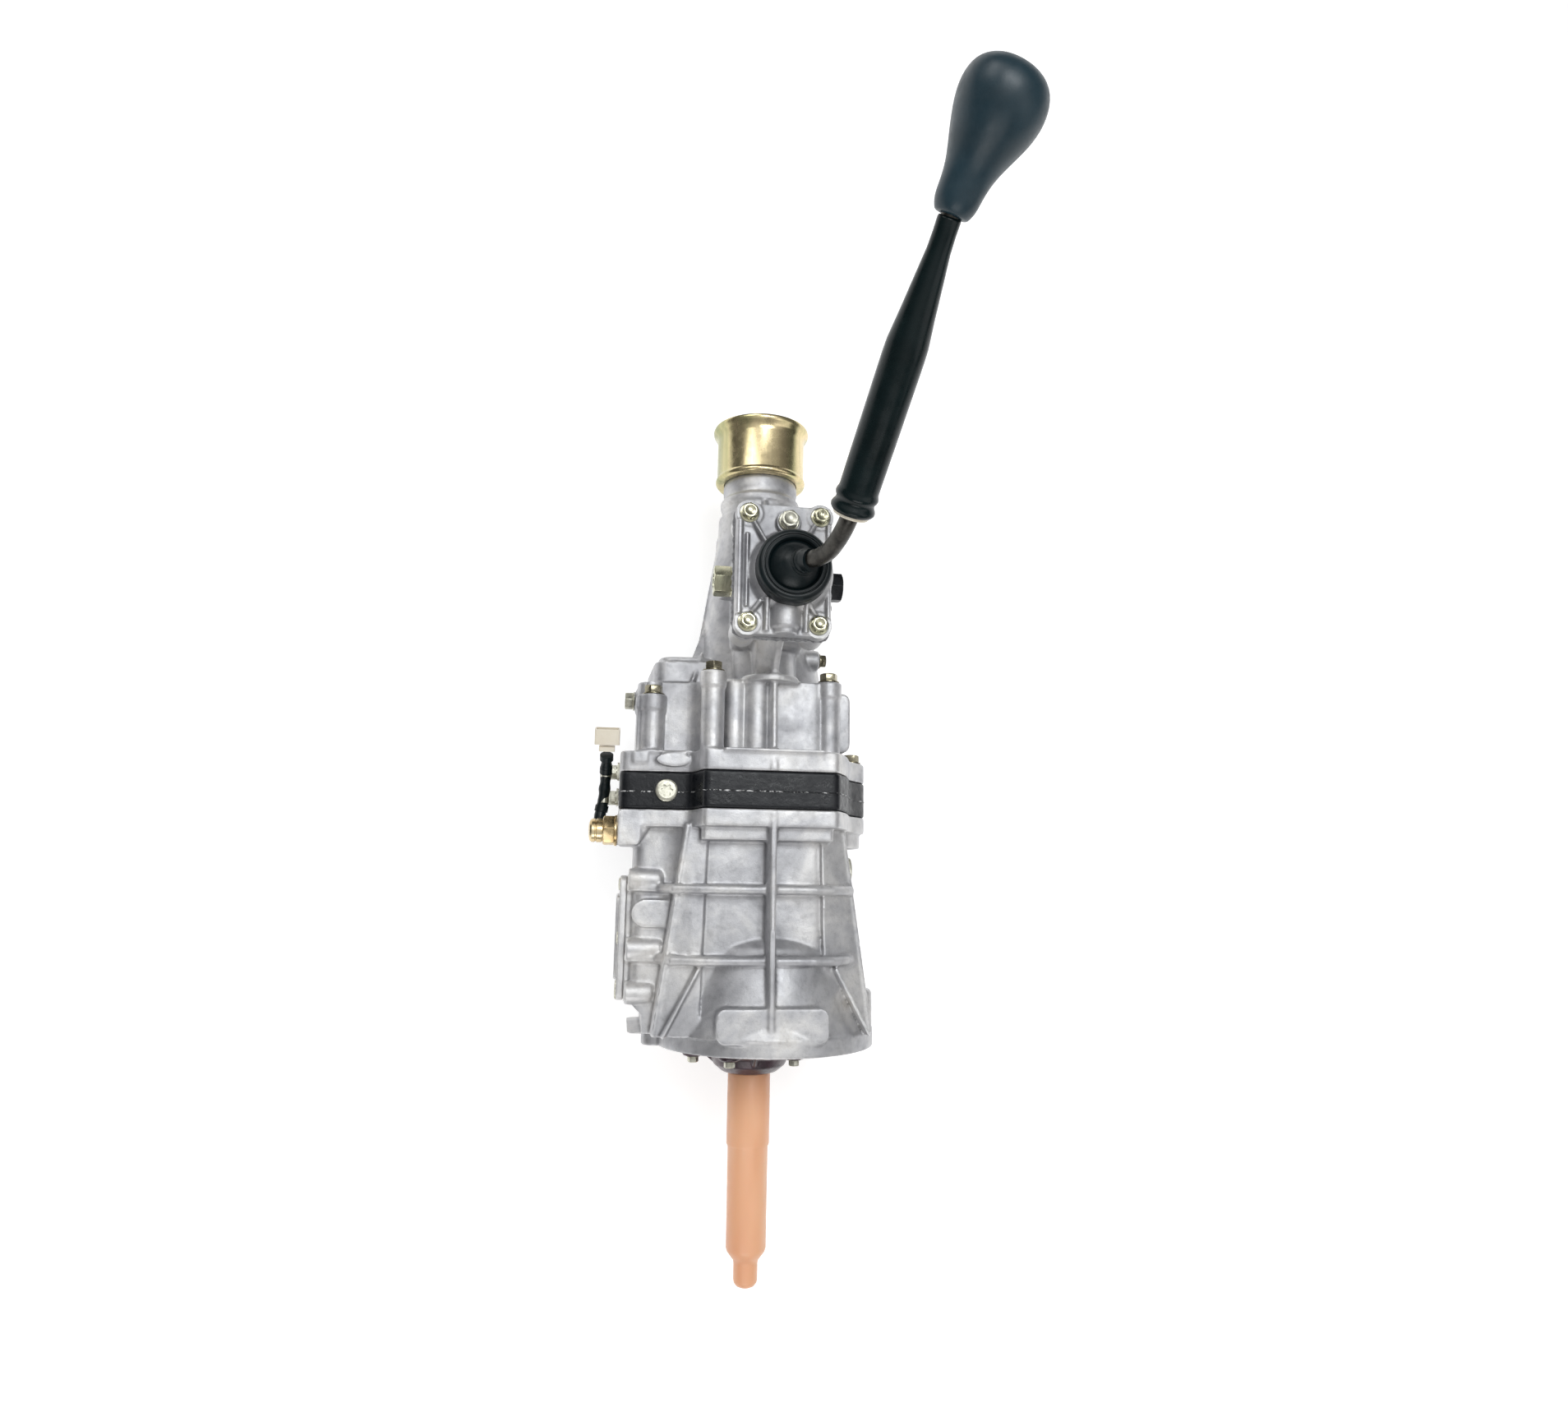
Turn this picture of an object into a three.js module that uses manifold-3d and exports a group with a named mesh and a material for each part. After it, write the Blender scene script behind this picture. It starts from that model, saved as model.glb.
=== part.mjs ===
// A five-speed manual transmission for a rear-wheel-drive vehicle, in millimetres.
// +Y runs along the shafts towards the tail, +Z is up and +X is to the right as seen from the front.
// The origin is on the ground under the main shaft, at the middle of the intermediate plate.
// Everything is modelled about the main shaft's axis and lifted by SHAFT_HEIGHT at the end.
import * as THREE from "three";
import { mergeVertices } from "three/addons/utils/BufferGeometryUtils.js";
import Module from "manifold-3d";

const wasm = await Module();
wasm.setup();

// ---------------------------------------------------------------- driving dimensions
const SHAFT_HEIGHT = 132; // main shaft axis above the ground
const FIT = 0.3; // gap between pieces that touch

const PLATE_HALF = 15; // the intermediate plate is 30 mm thick
const FLANGE_FACE = -204; // the case's front mating face
const RETAINER_SEAT = -203.4; // the floor of its recess for the bearing retainer
const FLANGE_BACK = -190;
const CASE_WALL = -184; // inside of the case's front wall
const BODY_END = 88; // rear of the extension's wide section
const TAIL_END = 335; // rear of the extension casting

const MODULE = 3.575;
const CENTRE_DISTANCE = 71.5; // main shaft to countershaft: 40 teeth in every pair
const TEETH = {
  input: [17, 23],
  first: [30, 10],
  second: [25, 15],
  third: [21, 19],
  fifth: [15, 25],
  reverse: [26, 9],
};
const IDLER_TEETH = 14;
const GEAR_SPAN = {
  input: [-181.5, -160.5],
  third: [-122.5, -101.5],
  second: [-99.5, -77.5],
  first: [-39.5, -17.5],
  fifth: [17.5, 35.5],
  reverse: [71.5, 87.5],
};
const HUB = { "34": -141.5, "12": -58.5, "5r": 53.5 }; // middle of each synchroniser hub
const HUB_HALF = { "34": 10, "12": 10, "5r": 9 };
const SLEEVE_BORE = 31;
const DOG_RADIUS = 28;
const SLEEVE_RADIUS = 41;

const RAIL_X = -80;
const RAIL_Z = { "34": 2, "12": 28, "5r": -24 };
const RAIL_RADIUS = 7;

const PIVOT = new THREE.Vector3(6, 163, 154); // centre of the gear lever's ball
const LOWER_ARM = 45;
const ROD_Z = 48; // axis of the shift rod in the tail housing
const TOWER_TOP = 138;
const COVER_BASE = 138.8; // the lever retainer sits on a 0.8 mm gasket
const COVER_TOP = 148;
const DOME_RADIUS = 24;

// ---------------------------------------------------------------- solids
function solidOf(geometry) {
  const plain = geometry.clone();
  plain.deleteAttribute("normal");
  plain.deleteAttribute("uv");
  const merged = mergeVertices(plain, 1e-4);
  const index = merged.index.array;
  const triangles = [];
  for (let i = 0; i < index.length; i += 3) {
    const [a, b, c] = [index[i], index[i + 1], index[i + 2]];
    if (a !== b && b !== c && a !== c) triangles.push(a, b, c);
  }
  const build = (list) =>
    new wasm.Manifold(
      new wasm.Mesh({
        numProp: 3,
        vertProperties: merged.attributes.position.array,
        triVerts: new Uint32Array(list),
      }),
    );
  const made = build(triangles);
  if (made.volume() > 0) return made;
  for (let i = 0; i < triangles.length; i += 3)
    [triangles[i + 1], triangles[i + 2]] = [triangles[i + 2], triangles[i + 1]];
  return build(triangles);
}

function meshOf(name, solid, material) {
  const data = solid.getMesh();
  const count = data.numVert;
  const stride = data.numProp;
  const position = new Float32Array(count * 3);
  for (let i = 0; i < count; i++)
    position.set(data.vertProperties.subarray(i * stride, i * stride + 3), i * 3);
  const geometry = new THREE.BufferGeometry();
  geometry.setAttribute("position", new THREE.BufferAttribute(position, 3));
  geometry.setIndex(new THREE.BufferAttribute(new Uint32Array(data.triVerts), 1));
  geometry.computeVertexNormals();
  const mesh = new THREE.Mesh(geometry, material);
  mesh.name = name;
  return mesh;
}

const union = (...solids) => solids.reduce((a, b) => a.add(b));
const cut = (solid, ...tools) => tools.reduce((a, b) => a.subtract(b), solid);
const moved = (solid, x, y, z) => solid.translate([x, y, z]);

// An outline through [x, y, radius] corners, each rounded to its radius.
function outline(corners) {
  const shape = new THREE.Shape();
  corners.forEach(([x, y, radius], i) => {
    const here = new THREE.Vector2(x, y);
    const [px, py] = corners[(i + corners.length - 1) % corners.length];
    const [nx, ny] = corners[(i + 1) % corners.length];
    const into = new THREE.Vector2(px, py).sub(here).setLength(radius).add(here);
    const out = new THREE.Vector2(nx, ny).sub(here).setLength(radius).add(here);
    if (i === 0) shape.moveTo(into.x, into.y);
    else shape.lineTo(into.x, into.y);
    shape.quadraticCurveTo(x, y, out.x, out.y);
  });
  shape.closePath();
  return shape;
}

const rectangle = (x0, y0, x1, y1, radius) =>
  outline([
    [x0, y0, radius],
    [x1, y0, radius],
    [x1, y1, radius],
    [x0, y1, radius],
  ]);

const extruded = (shape, depth, curveSegments = 2) =>
  new THREE.ExtrudeGeometry(shape, { depth, bevelEnabled: false, curveSegments });

// A shape drawn in X and Z, extruded from y0 to y1.
const alongY = (shape, y0, y1, segments) =>
  solidOf(extruded(shape, y1 - y0, segments).rotateX(Math.PI / 2).translate(0, y1, 0));

// A shape drawn in X and Y, extruded from z0 to z1.
const alongZ = (shape, z0, z1, segments) => solidOf(extruded(shape, z1 - z0, segments).translate(0, 0, z0));

// A shape drawn in Y and Z, extruded from x0 to x1.
const YZ_TO_WORLD = new THREE.Matrix4().makeBasis(
  new THREE.Vector3(0, 1, 0),
  new THREE.Vector3(0, 0, 1),
  new THREE.Vector3(1, 0, 0),
);
const alongX = (shape, x0, x1, segments) =>
  solidOf(extruded(shape, x1 - x0, segments).applyMatrix4(YZ_TO_WORLD).translate(x0, 0, 0));

const box = (x0, y0, z0, x1, y1, z1) =>
  solidOf(
    new THREE.BoxGeometry(x1 - x0, y1 - y0, z1 - z0).translate((x0 + x1) / 2, (y0 + y1) / 2, (z0 + z1) / 2),
  );

// Round bars between two stations on an axis parallel to X, Y or Z.
const barY = (x, z, radius, y0, y1, sides = 12, radius1 = radius) =>
  solidOf(new THREE.CylinderGeometry(radius1, radius, y1 - y0, sides).translate(x, (y0 + y1) / 2, z));
const barZ = (x, y, radius, z0, z1, sides = 12, radius1 = radius) =>
  solidOf(
    new THREE.CylinderGeometry(radius1, radius, z1 - z0, sides).rotateX(Math.PI / 2).translate(x, y, (z0 + z1) / 2),
  );
const barX = (y, z, radius, x0, x1, sides = 12) =>
  solidOf(new THREE.CylinderGeometry(radius, radius, x1 - x0, sides).rotateZ(Math.PI / 2).translate((x0 + x1) / 2, y, z));

// A profile of [radius, station] pairs turned about the main shaft's axis.
const turned = (profile, sides = 20) =>
  solidOf(new THREE.LatheGeometry(profile.map(([r, y]) => new THREE.Vector2(r, y)), sides));

// A closed profile turned about the axis, for rings.
const turnedRing = (profile, sides) => turned([...profile, profile[0]], sides);

const ring = (inner, outer, y0, y1, sides = 18) =>
  turnedRing(
    [
      [inner, y0],
      [outer, y0],
      [outer, y1],
      [inner, y1],
    ],
    sides,
  );

// Turns a solid made about +Y so that its axis points along a direction and starts at a point.
function pointed(solid, direction, start = new THREE.Vector3()) {
  const turn = new THREE.Quaternion().setFromUnitVectors(new THREE.Vector3(0, 1, 0), direction.clone().normalize());
  const matrix = new THREE.Matrix4().compose(start, turn, new THREE.Vector3(1, 1, 1));
  return solid.transform(matrix.toArray());
}

const UP = new THREE.Vector3(0, 0, 1);
const DOWN = new THREE.Vector3(0, 0, -1);
const LEFT = new THREE.Vector3(-1, 0, 0);
const RIGHT = new THREE.Vector3(1, 0, 0);
const REAR = new THREE.Vector3(0, 1, 0);

// A round tube along a smooth curve.
function tubeAlong(curve, radius, steps, sides = 8) {
  const section = new THREE.Shape();
  for (let i = 0; i < sides; i++) {
    const angle = (2 * Math.PI * i) / sides;
    const point = [radius * Math.cos(angle), radius * Math.sin(angle)];
    if (i === 0) section.moveTo(...point);
    else section.lineTo(...point);
  }
  section.closePath();
  return solidOf(new THREE.ExtrudeGeometry(section, { steps, extrudePath: curve, bevelEnabled: false }));
}

const along = (points) => new THREE.CatmullRomCurve3(points.map((p) => new THREE.Vector3(...p)), false, "centripetal");

// ---------------------------------------------------------------- materials
const metal = (color, roughness, metalness = 1) => new THREE.MeshStandardMaterial({ color, roughness, metalness });
const castAluminium = metal(0xb9bcc0, 0.45);
const gearSteel = metal(0x8b8f94, 0.3);
const bearingSteel = metal(0xa9adb2, 0.2);
const syncroBrass = metal(0xb08d4a, 0.35);
const yellowZinc = metal(0xcdb268, 0.35);
const paleZinc = metal(0xb5b394, 0.35);
const blackPaint = metal(0x17191d, 0.4, 0.2);
const brownPaint = metal(0x3a2a30, 0.45, 0.2);
const blackRubber = metal(0x14191d, 0.6, 0);
const orangePlastic = metal(0xe59a68, 0.45, 0);
const whiteNylon = metal(0xe9e2d4, 0.5, 0);
const leverSteel = metal(0x4a4b49, 0.35);

// ---------------------------------------------------------------- fasteners
// A hexagon bolt with a pressed flange. Its head stands on the origin and its shank runs along -Y.
function hexBolt({ shank, length, acrossFlats, head, flange }) {
  const hexagon = new THREE.CylinderGeometry(acrossFlats / Math.sqrt(3), acrossFlats / Math.sqrt(3), head, 6);
  const flangeHeight = 1.8;
  return union(
    turned(
      [
        [0, -length],
        [shank, -length],
        [shank, 0],
        [flange, 0],
        [flange, flangeHeight],
        [0, flangeHeight],
      ],
      12,
    ),
    solidOf(hexagon.translate(0, flangeHeight - 0.2 + head / 2, 0)),
  );
}

const CASE_BOLT = { shank: 4, length: 96, acrossFlats: 13, head: 6, flange: 9 };
const TOWER_BOLT = { shank: 3.4, length: 26, acrossFlats: 11, head: 6, flange: 7.5 };

// ---------------------------------------------------------------- gears
const pitchRadius = (teeth) => (MODULE * teeth) / 2;
const ADDENDUM = 0.92 * MODULE;
const DEDENDUM = 1.25 * MODULE;
const BACKLASH = 0.4;
const PRESSURE_ANGLE = (20 * Math.PI) / 180;
const involute = (angle) => Math.tan(angle) - angle;

// A tooth's half angle at a radius, from the involute of its base circle.
function halfTooth(teeth, radius) {
  const pitch = pitchRadius(teeth);
  const base = pitch * Math.cos(PRESSURE_ANGLE);
  const here = radius > base ? Math.acos(base / radius) : 0;
  return (Math.PI / 2 / teeth - BACKLASH / 2 / pitch) + involute(PRESSURE_ANGLE) - involute(here);
}

// A spur gear's outline, with a tooth centred on an angle from +X towards +Z.
function gearShape(teeth, toothAngle) {
  const root = pitchRadius(teeth) - DEDENDUM;
  const tip = pitchRadius(teeth) + ADDENDUM;
  const rootHalf = halfTooth(teeth, root) - (teeth < 18 ? 0.9 / root : 0); // small pinions are undercut
  const tipHalf = halfTooth(teeth, tip);
  const shape = new THREE.Shape();
  for (let i = 0; i < teeth; i++) {
    const middle = toothAngle + (2 * Math.PI * i) / teeth;
    for (const [radius, offset] of [[root, -rootHalf], [tip, -tipHalf], [tip, tipHalf], [root, rootHalf]]) {
      const point = [radius * Math.cos(middle + offset), radius * Math.sin(middle + offset)];
      if (i === 0 && offset === -rootHalf) shape.moveTo(...point);
      else shape.lineTo(...point);
    }
  }
  shape.closePath();
  return shape;
}

// Gears on the main axis have a tooth pointing down; those on the countershaft have a gap pointing up.
const mainGear = (name, teeth = TEETH[name][0]) => alongY(gearShape(teeth, -Math.PI / 2), ...GEAR_SPAN[name]);
function counterGear(name) {
  const teeth = TEETH[name][1];
  return moved(alongY(gearShape(teeth, Math.PI / 2 + Math.PI / teeth), ...GEAR_SPAN[name]), 0, 0, -CENTRE_DISTANCE);
}

// The reverse idler meshes with the countershaft's reverse pinion and the main shaft's reverse gear.
const idlerToMain = pitchRadius(IDLER_TEETH + TEETH.reverse[0]);
const idlerToCounter = pitchRadius(IDLER_TEETH + TEETH.reverse[1]);
const IDLER_Z = -(idlerToMain ** 2 + CENTRE_DISTANCE ** 2 - idlerToCounter ** 2) / (2 * CENTRE_DISTANCE);
const IDLER_X = Math.sqrt(idlerToMain ** 2 - IDLER_Z ** 2);
const angleToMain = Math.atan2(-IDLER_Z, -IDLER_X);
const angleToCounter = Math.atan2(-CENTRE_DISTANCE - IDLER_Z, -IDLER_X);

function reversePinion() {
  const idlerPitch = (2 * Math.PI) / IDLER_TEETH;
  const turn = (angleToMain - angleToCounter) / idlerPitch;
  const offset = (turn - Math.round(turn)) * idlerPitch;
  const teeth = TEETH.reverse[1];
  const gap = angleToCounter + Math.PI - (offset * IDLER_TEETH) / teeth;
  return moved(alongY(gearShape(teeth, gap + Math.PI / teeth), ...GEAR_SPAN.reverse), 0, 0, -CENTRE_DISTANCE);
}

// ---------------------------------------------------------------- main shaft line
const NOSE_TUBE = { inner: 13.6, outer: 15, front: -283 };

function inputShaft() {
  const shaft = turned([
    [0, -392],
    [6.5, -392],
    [7.5, -390.5],
    [7.5, -366],
    [12.5, -364],
    [12.5, -206],
    [17.7, -204.5],
    [17.7, -181.8],
    [20, -181.8],
    [20, -160.2],
    [DOG_RADIUS - 4, -160.2],
    [DOG_RADIUS, -159.5],
    [DOG_RADIUS, -153.5],
    [0, -153.5],
  ]);
  return union(shaft, mainGear("input")).subtract(barY(0, 0, 13.5, -174, -150, 16));
}

// The coupling teeth stand off the gear's face on a short neck.
const dogRing = (face, side) =>
  union(
    barY(0, 0, 21, Math.min(face - side, face + 2 * side), Math.max(face - side, face + 2 * side), 16),
    barY(0, 0, DOG_RADIUS, Math.min(face + 0.7 * side, face + 7 * side), Math.max(face + 0.7 * side, face + 7 * side), 16),
  );

function speedGear(name, dogSides) {
  const [front, rear] = GEAR_SPAN[name];
  const dogs = dogSides.map((side) => (side < 0 ? dogRing(front, -1) : dogRing(rear, 1)));
  return union(mainGear(name), ...dogs).subtract(barY(0, 0, 17.5, front - 10, rear + 10, 16));
}

function reverseGear() {
  const [front, rear] = GEAR_SPAN.reverse;
  const phase = angleToMain + Math.PI + Math.PI / TEETH.reverse[0];
  const teeth = alongY(gearShape(TEETH.reverse[0], phase), front, rear);
  return union(teeth, dogRing(front, -1)).subtract(barY(0, 0, 17.5, front - 10, rear + 10, 16));
}

const outputShaft = () =>
  turned([
    [0, -172],
    [10, -172],
    [11, -171],
    [11, -153],
    [17, -152.2],
    [17, -PLATE_HALF + 3],
    [20, -PLATE_HALF + 3],
    [20, PLATE_HALF - 3],
    [17, PLATE_HALF - 3],
    [17, 118],
    [15, 120],
    [15, 250],
    [12.5, 252],
    [12.5, 327],
    [11, 328.5],
    [0, 328.5],
  ], 16);

const hub = (key) => {
  const [y, half] = [HUB[key], HUB_HALF[key]];
  return ring(17 + FIT, SLEEVE_BORE - 0.6, y - half, y + half);
};

const sleeve = (key) => {
  const [y, half] = [HUB[key], HUB_HALF[key]];
  const grooveHalf = 4.2;
  const groove = SLEEVE_RADIUS - 5;
  return turnedRing([
    [SLEEVE_BORE, y - half],
    [SLEEVE_RADIUS, y - half],
    [SLEEVE_RADIUS, y - grooveHalf],
    [groove, y - grooveHalf],
    [groove, y + grooveHalf],
    [SLEEVE_RADIUS, y + grooveHalf],
    [SLEEVE_RADIUS, y + half],
    [SLEEVE_BORE, y + half],
  ]);
};

// A ball bearing, closed by its shields.
const bearing = (inner, outer, y0, y1) => ring(inner, outer, y0, y1, 20);

// ---------------------------------------------------------------- countershaft line
function countershaft() {
  const shaft = moved(
    turned([
      [0, -199.6],
      [10, -199.6],
      [10, -182],
      [14, -181],
      [14, -PLATE_HALF + 2.7],
      [13, -PLATE_HALF + 2.7],
      [13, PLATE_HALF + 1],
      [11.5, PLATE_HALF + 2],
      [11.5, 80],
      [0, 80],
    ]),
    0,
    0,
    -CENTRE_DISTANCE,
  );
  return union(shaft, ...["input", "third", "second", "first", "fifth"].map(counterGear), reversePinion());
}

const idlerGear = () => {
  const [front, rear] = GEAR_SPAN.reverse;
  const gear = alongY(gearShape(IDLER_TEETH, angleToMain), front, rear);
  return moved(gear.subtract(barY(0, 0, 9.4, front - 5, rear + 5)), IDLER_X, 0, IDLER_Z);
};

const idlerShaft = () =>
  moved(
    turned([
      [0, 68.5],
      [12, 68.5],
      [12, 71],
      [9, 71],
      [9, 99.7],
      [0, 99.7],
    ]),
    IDLER_X,
    0,
    IDLER_Z,
  );

// ---------------------------------------------------------------- shift rails and forks
const RAIL_SPAN = { "34": [-178, 92], "12": [-100, 92], "5r": [-26, 92] };

function rail(key) {
  const [front, rear] = RAIL_SPAN[key];
  return barY(RAIL_X, RAIL_Z[key], RAIL_RADIUS, front, rear, 14);
}

// A fork spans half the sleeve's groove and clamps to its rail.
function fork(key) {
  const y = HUB[key];
  const thickness = 3.6;
  const inner = SLEEVE_RADIUS - 5 + 0.8;
  const outer = inner + 9;
  const jaw = new THREE.Shape();
  jaw.absarc(0, 0, outer, Math.PI / 2 + 0.1, (3 * Math.PI) / 2 - 0.1, false);
  jaw.absarc(0, 0, inner, (3 * Math.PI) / 2 - 0.1, Math.PI / 2 + 0.1, true);
  jaw.closePath();
  const z = RAIL_Z[key];
  const reach = Math.sqrt((inner + 4) ** 2 - Math.min(Math.abs(z), inner - 6) ** 2);
  const arm = box(RAIL_X + 6, y - thickness, z - 8, -reach, y + thickness, z + 8);
  const boss = barY(RAIL_X, z, 11, y - 11, y + 11);
  const bore = barY(RAIL_X, z, RAIL_RADIUS + FIT, y - 12, y + 12, 14);
  const grooveRoom = barY(0, 0, inner, y - 5, y + 5, 24);
  return union(alongY(jaw, y - thickness, y + thickness, 8), arm, boss).subtract(grooveRoom).subtract(bore);
}

// The reverse restrict guide slides with the shift rod, which turns inside it.
const rodGuide = () => moved(ring(8 + FIT, 14, 186, 200, 16), 0, 0, ROD_Z);

function shiftRod() {
  const socketZ = PIVOT.z - LOWER_ARM;
  const rod = barY(0, ROD_Z, 8, 97, 206, 14);
  const collars = union(barY(0, ROD_Z, 12, 203, 206, 14), barY(0, ROD_Z, 13, 146, 176, 14));
  const post = box(PIVOT.x - 7, 152, ROD_Z, PIVOT.x + 7, 172, socketZ - 10);
  const cup = cut(barZ(PIVOT.x, PIVOT.y, 13, socketZ - 14, socketZ + 7), barZ(PIVOT.x, PIVOT.y, 8.2, socketZ - 9.5, socketZ + 8));
  const finger = alongY(
    outline([
      [-10, ROD_Z - 12, 3],
      [10, ROD_Z - 10, 3],
      [10, ROD_Z + 8, 3],
      [-8, ROD_Z + 6, 3],
      [-32, 28, 3],
      [-66, 12, 3],
      [-66, -2, 3],
    ]),
    97.5,
    103.5,
    2,
  );
  return union(rod, collars, post, cup, finger);
}

// ---------------------------------------------------------------- castings
// The joint outline shared by the case, the intermediate plate and the extension housing.
const JOINT_FACE = [
  [-52, 95, 5],
  [-60, 66, 6],
  [-118, 62, 9],
  [-118, -50, 12],
  [-80, -54, 8],
  [-72, -98, 18],
  [-48, -132, 10],
  [52, -132, 10],
  [84, -100, 18],
  [84, -36, 8],
  [97, -15, 9],
  [97, 15, 9],
  [78, 38, 6],
  [68, 72, 8],
  [56, 95, 5],
];
const CASE_BODY = [
  [-48, 72, 8],
  [-74, 52, 8],
  [-104, 50, 10],
  [-104, -46, 10],
  [-70, -50, 8],
  [-66, -88, 18],
  [-44, -124, 18],
  [44, -124, 18],
  [66, -82, 18],
  [72, -20, 18],
  [70, 40, 12],
  [46, 72, 8],
];
const WALL = 5.5;
// The same outline drawn in by one wall thickness.
function inset(corners, distance) {
  const count = corners.length;
  return corners.map(([x, y, radius], i) => {
    const here = new THREE.Vector2(x, y);
    const before = new THREE.Vector2(...corners[(i + count - 1) % count]).sub(here).normalize();
    const after = new THREE.Vector2(...corners[(i + 1) % count]).sub(here).normalize();
    const side = before.clone().negate().cross(after) > 0 ? 1 : -1;
    const half = before.angleTo(after) / 2;
    const direction = before.add(after).normalize().multiplyScalar((side * distance) / Math.sin(half));
    return [x + direction.x, y + direction.y, Math.max(1, radius - side * distance * 0.6)];
  });
}

// Bolts that clamp the extension, the plate and the case: [x, z, station of the head's seat].
const CASE_BOLTS = [
  [-93, 54, 80],
  [-46, 84, 96],
  [53, 66, 94],
  [87, 0, 34],
];
const CASE_BOLT_END = -32;

const boltHoles = (y0, y1) =>
  CASE_BOLTS.map(([x, z]) => barY(x, z, CASE_BOLT.shank + 2 * FIT, y0, y1, 8));

// The clutch housing face: a round flange that runs down to the ground under the countershaft.
const FLANGE_CENTRE = 11;
const FLANGE_RADIUS = 91;
function flangeShape() {
  const shape = new THREE.Shape();
  shape.moveTo(-50, -132);
  shape.lineTo(52, -132);
  shape.absarc(FLANGE_CENTRE, 8, FLANGE_RADIUS, -0.66, Math.PI + 0.66, false);
  shape.closePath();
  return shape;
}

function frontCase() {
  const jointFlange = alongY(outline(JOINT_FACE), -30, -PLATE_HALF);
  const body = alongY(outline(CASE_BODY), FLANGE_BACK, -28);
  const cone = turned([
    [0, -112],
    [62, -112],
    [89, FLANGE_BACK],
    [0, FLANGE_BACK],
  ], 28);
  const bell = moved(cone, FLANGE_CENTRE - 4, 0, 0);
  const flange = alongY(flangeShape(), FLANGE_FACE, FLANGE_BACK, 16);
  const crossRib = (y, half) =>
    alongY(outline([[-81, 44, 2], [-76, 58, 4], [-50, 82, 6], [48, 82, 6], [74, 54, 4], [74, 40, 2]]), y - half, y + half, 1);
  const spine = alongX(outline([[-29, 60, 1], [-29, 88, 1], [FLANGE_BACK, 93, 1], [FLANGE_BACK, 60, 1]]), 1, 7, 1);
  const stepBar = alongY(outline([[-52, 60, 2], [-52, 86, 4], [54, 86, 4], [54, 60, 2]]), -39, -29, 1);
  const windowPad = alongZ(rectangle(-34, FLANGE_BACK - 1, 46, -166, 7), 60, 86);
  const sideFins = [[-62, -84, 60], [60, 90, 62]].map(([x0, x1, z]) =>
    alongZ(outline([[x0 - 3, -29, 1], [x0 + 3, -29, 1], [x1 + 3, FLANGE_BACK, 1], [x1 - 3, FLANGE_BACK, 1]]), 0, z, 1),
  );
  const coverPad = alongX(rectangle(-167, -28, -68, 42, 9), -108, -96);
  const coverBosses = [-76, -131, -160].map((y) => barX(y, 46, 8, -108, -78, 12));
  const flangeBosses = [[-80, 14], [96, 8]].map(([x, z]) => barY(x, z, 9, FLANGE_BACK - 1, -163, 14));
  const shoulder = box(-118, -42, 20, -96, -28, 60);
  const fillerBoss = barX(-61, 0, 14, 60, 79, 14);
  const drainBoss = barZ(0, -100, 15, -126, -118, 14);
  const outside = union(
    jointFlange, body, bell, flange, crossRib(-78, 3.5), crossRib(-133, 3.5), spine, stepBar, windowPad,
    ...sideFins, coverPad, ...coverBosses, ...flangeBosses, shoulder, fillerBoss, drainBoss,
  );
  const hollow = alongY(outline(inset(CASE_BODY, WALL)), CASE_WALL, -PLATE_HALF + 1, 1);
  return cut(
    outside,
    hollow,
    barY(0, 0, 36 + FIT, -202, CASE_WALL + 1, 20),
    barY(0, 0, 30, FLANGE_FACE - 1, -201, 20),
    barY(0, -CENTRE_DISTANCE, 22 + FIT, -200, CASE_WALL + 1, 20),
    barY(RAIL_X, RAIL_Z["34"], RAIL_RADIUS + FIT, CASE_WALL - 10, CASE_WALL + 1, 14),
    barX(-61, 0, 8 + FIT, 60, 80, 12),
    barZ(0, -100, 8 + FIT, -127, -112, 12),
    barX(-32, 40, 7 + FIT, -119, -90, 14),
    alongX(rectangle(-154, -18, -81, 30, 8), -109, -90),
    ...boltHoles(CASE_BOLT_END - 1, 0),
    ...RETAINER_BOLTS.map(([x, z]) => barY(x, z, 3 + FIT, FLANGE_FACE - 1, -192, 6)),
    retainerLobes(FLANGE_FACE - 1, RETAINER_SEAT, 1.5),
  );
}

function intermediatePlate() {
  const slab = alongY(outline(JOINT_FACE), -PLATE_HALF, PLATE_HALF);
  const rails = Object.values(RAIL_Z).map((z) => barY(RAIL_X, z, RAIL_RADIUS + FIT, -16, 16, 14));
  return cut(
    slab,
    barY(0, 0, 40 + FIT, -12.3, 16, 20),
    barY(0, 0, 34, -16, 0, 20),
    barY(0, -CENTRE_DISTANCE, 26 + FIT, -12.3, 16, 20),
    barY(0, -CENTRE_DISTANCE, 20, -16, 0, 20),
    ...rails,
    ...boltHoles(-16, 16),
    barZ(RAIL_X, 0, 6 + FIT, 51, 70, 12),
  );
}

const TAIL_OUTSIDE = [
  [0, BODY_END - 20],
  [58, BODY_END - 20],
  [58, 96],
  [51, 141],
  [42, 205],
  [36, 250],
  [33.5, 268],
  [33.5, TAIL_END - 2],
  [31.5, TAIL_END],
  [0, TAIL_END],
];
const TAIL_INSIDE = [
  [0, BODY_END - 21],
  [52.5, BODY_END - 21],
  [52.5, 96],
  [45.5, 141],
  [36.5, 205],
  [30.5, 250],
  [27, 268],
  [24, 296],
  [24, 322],
  [27 + FIT, 322],
  [27 + FIT, TAIL_END + 1],
  [0, TAIL_END + 1],
];

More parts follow.
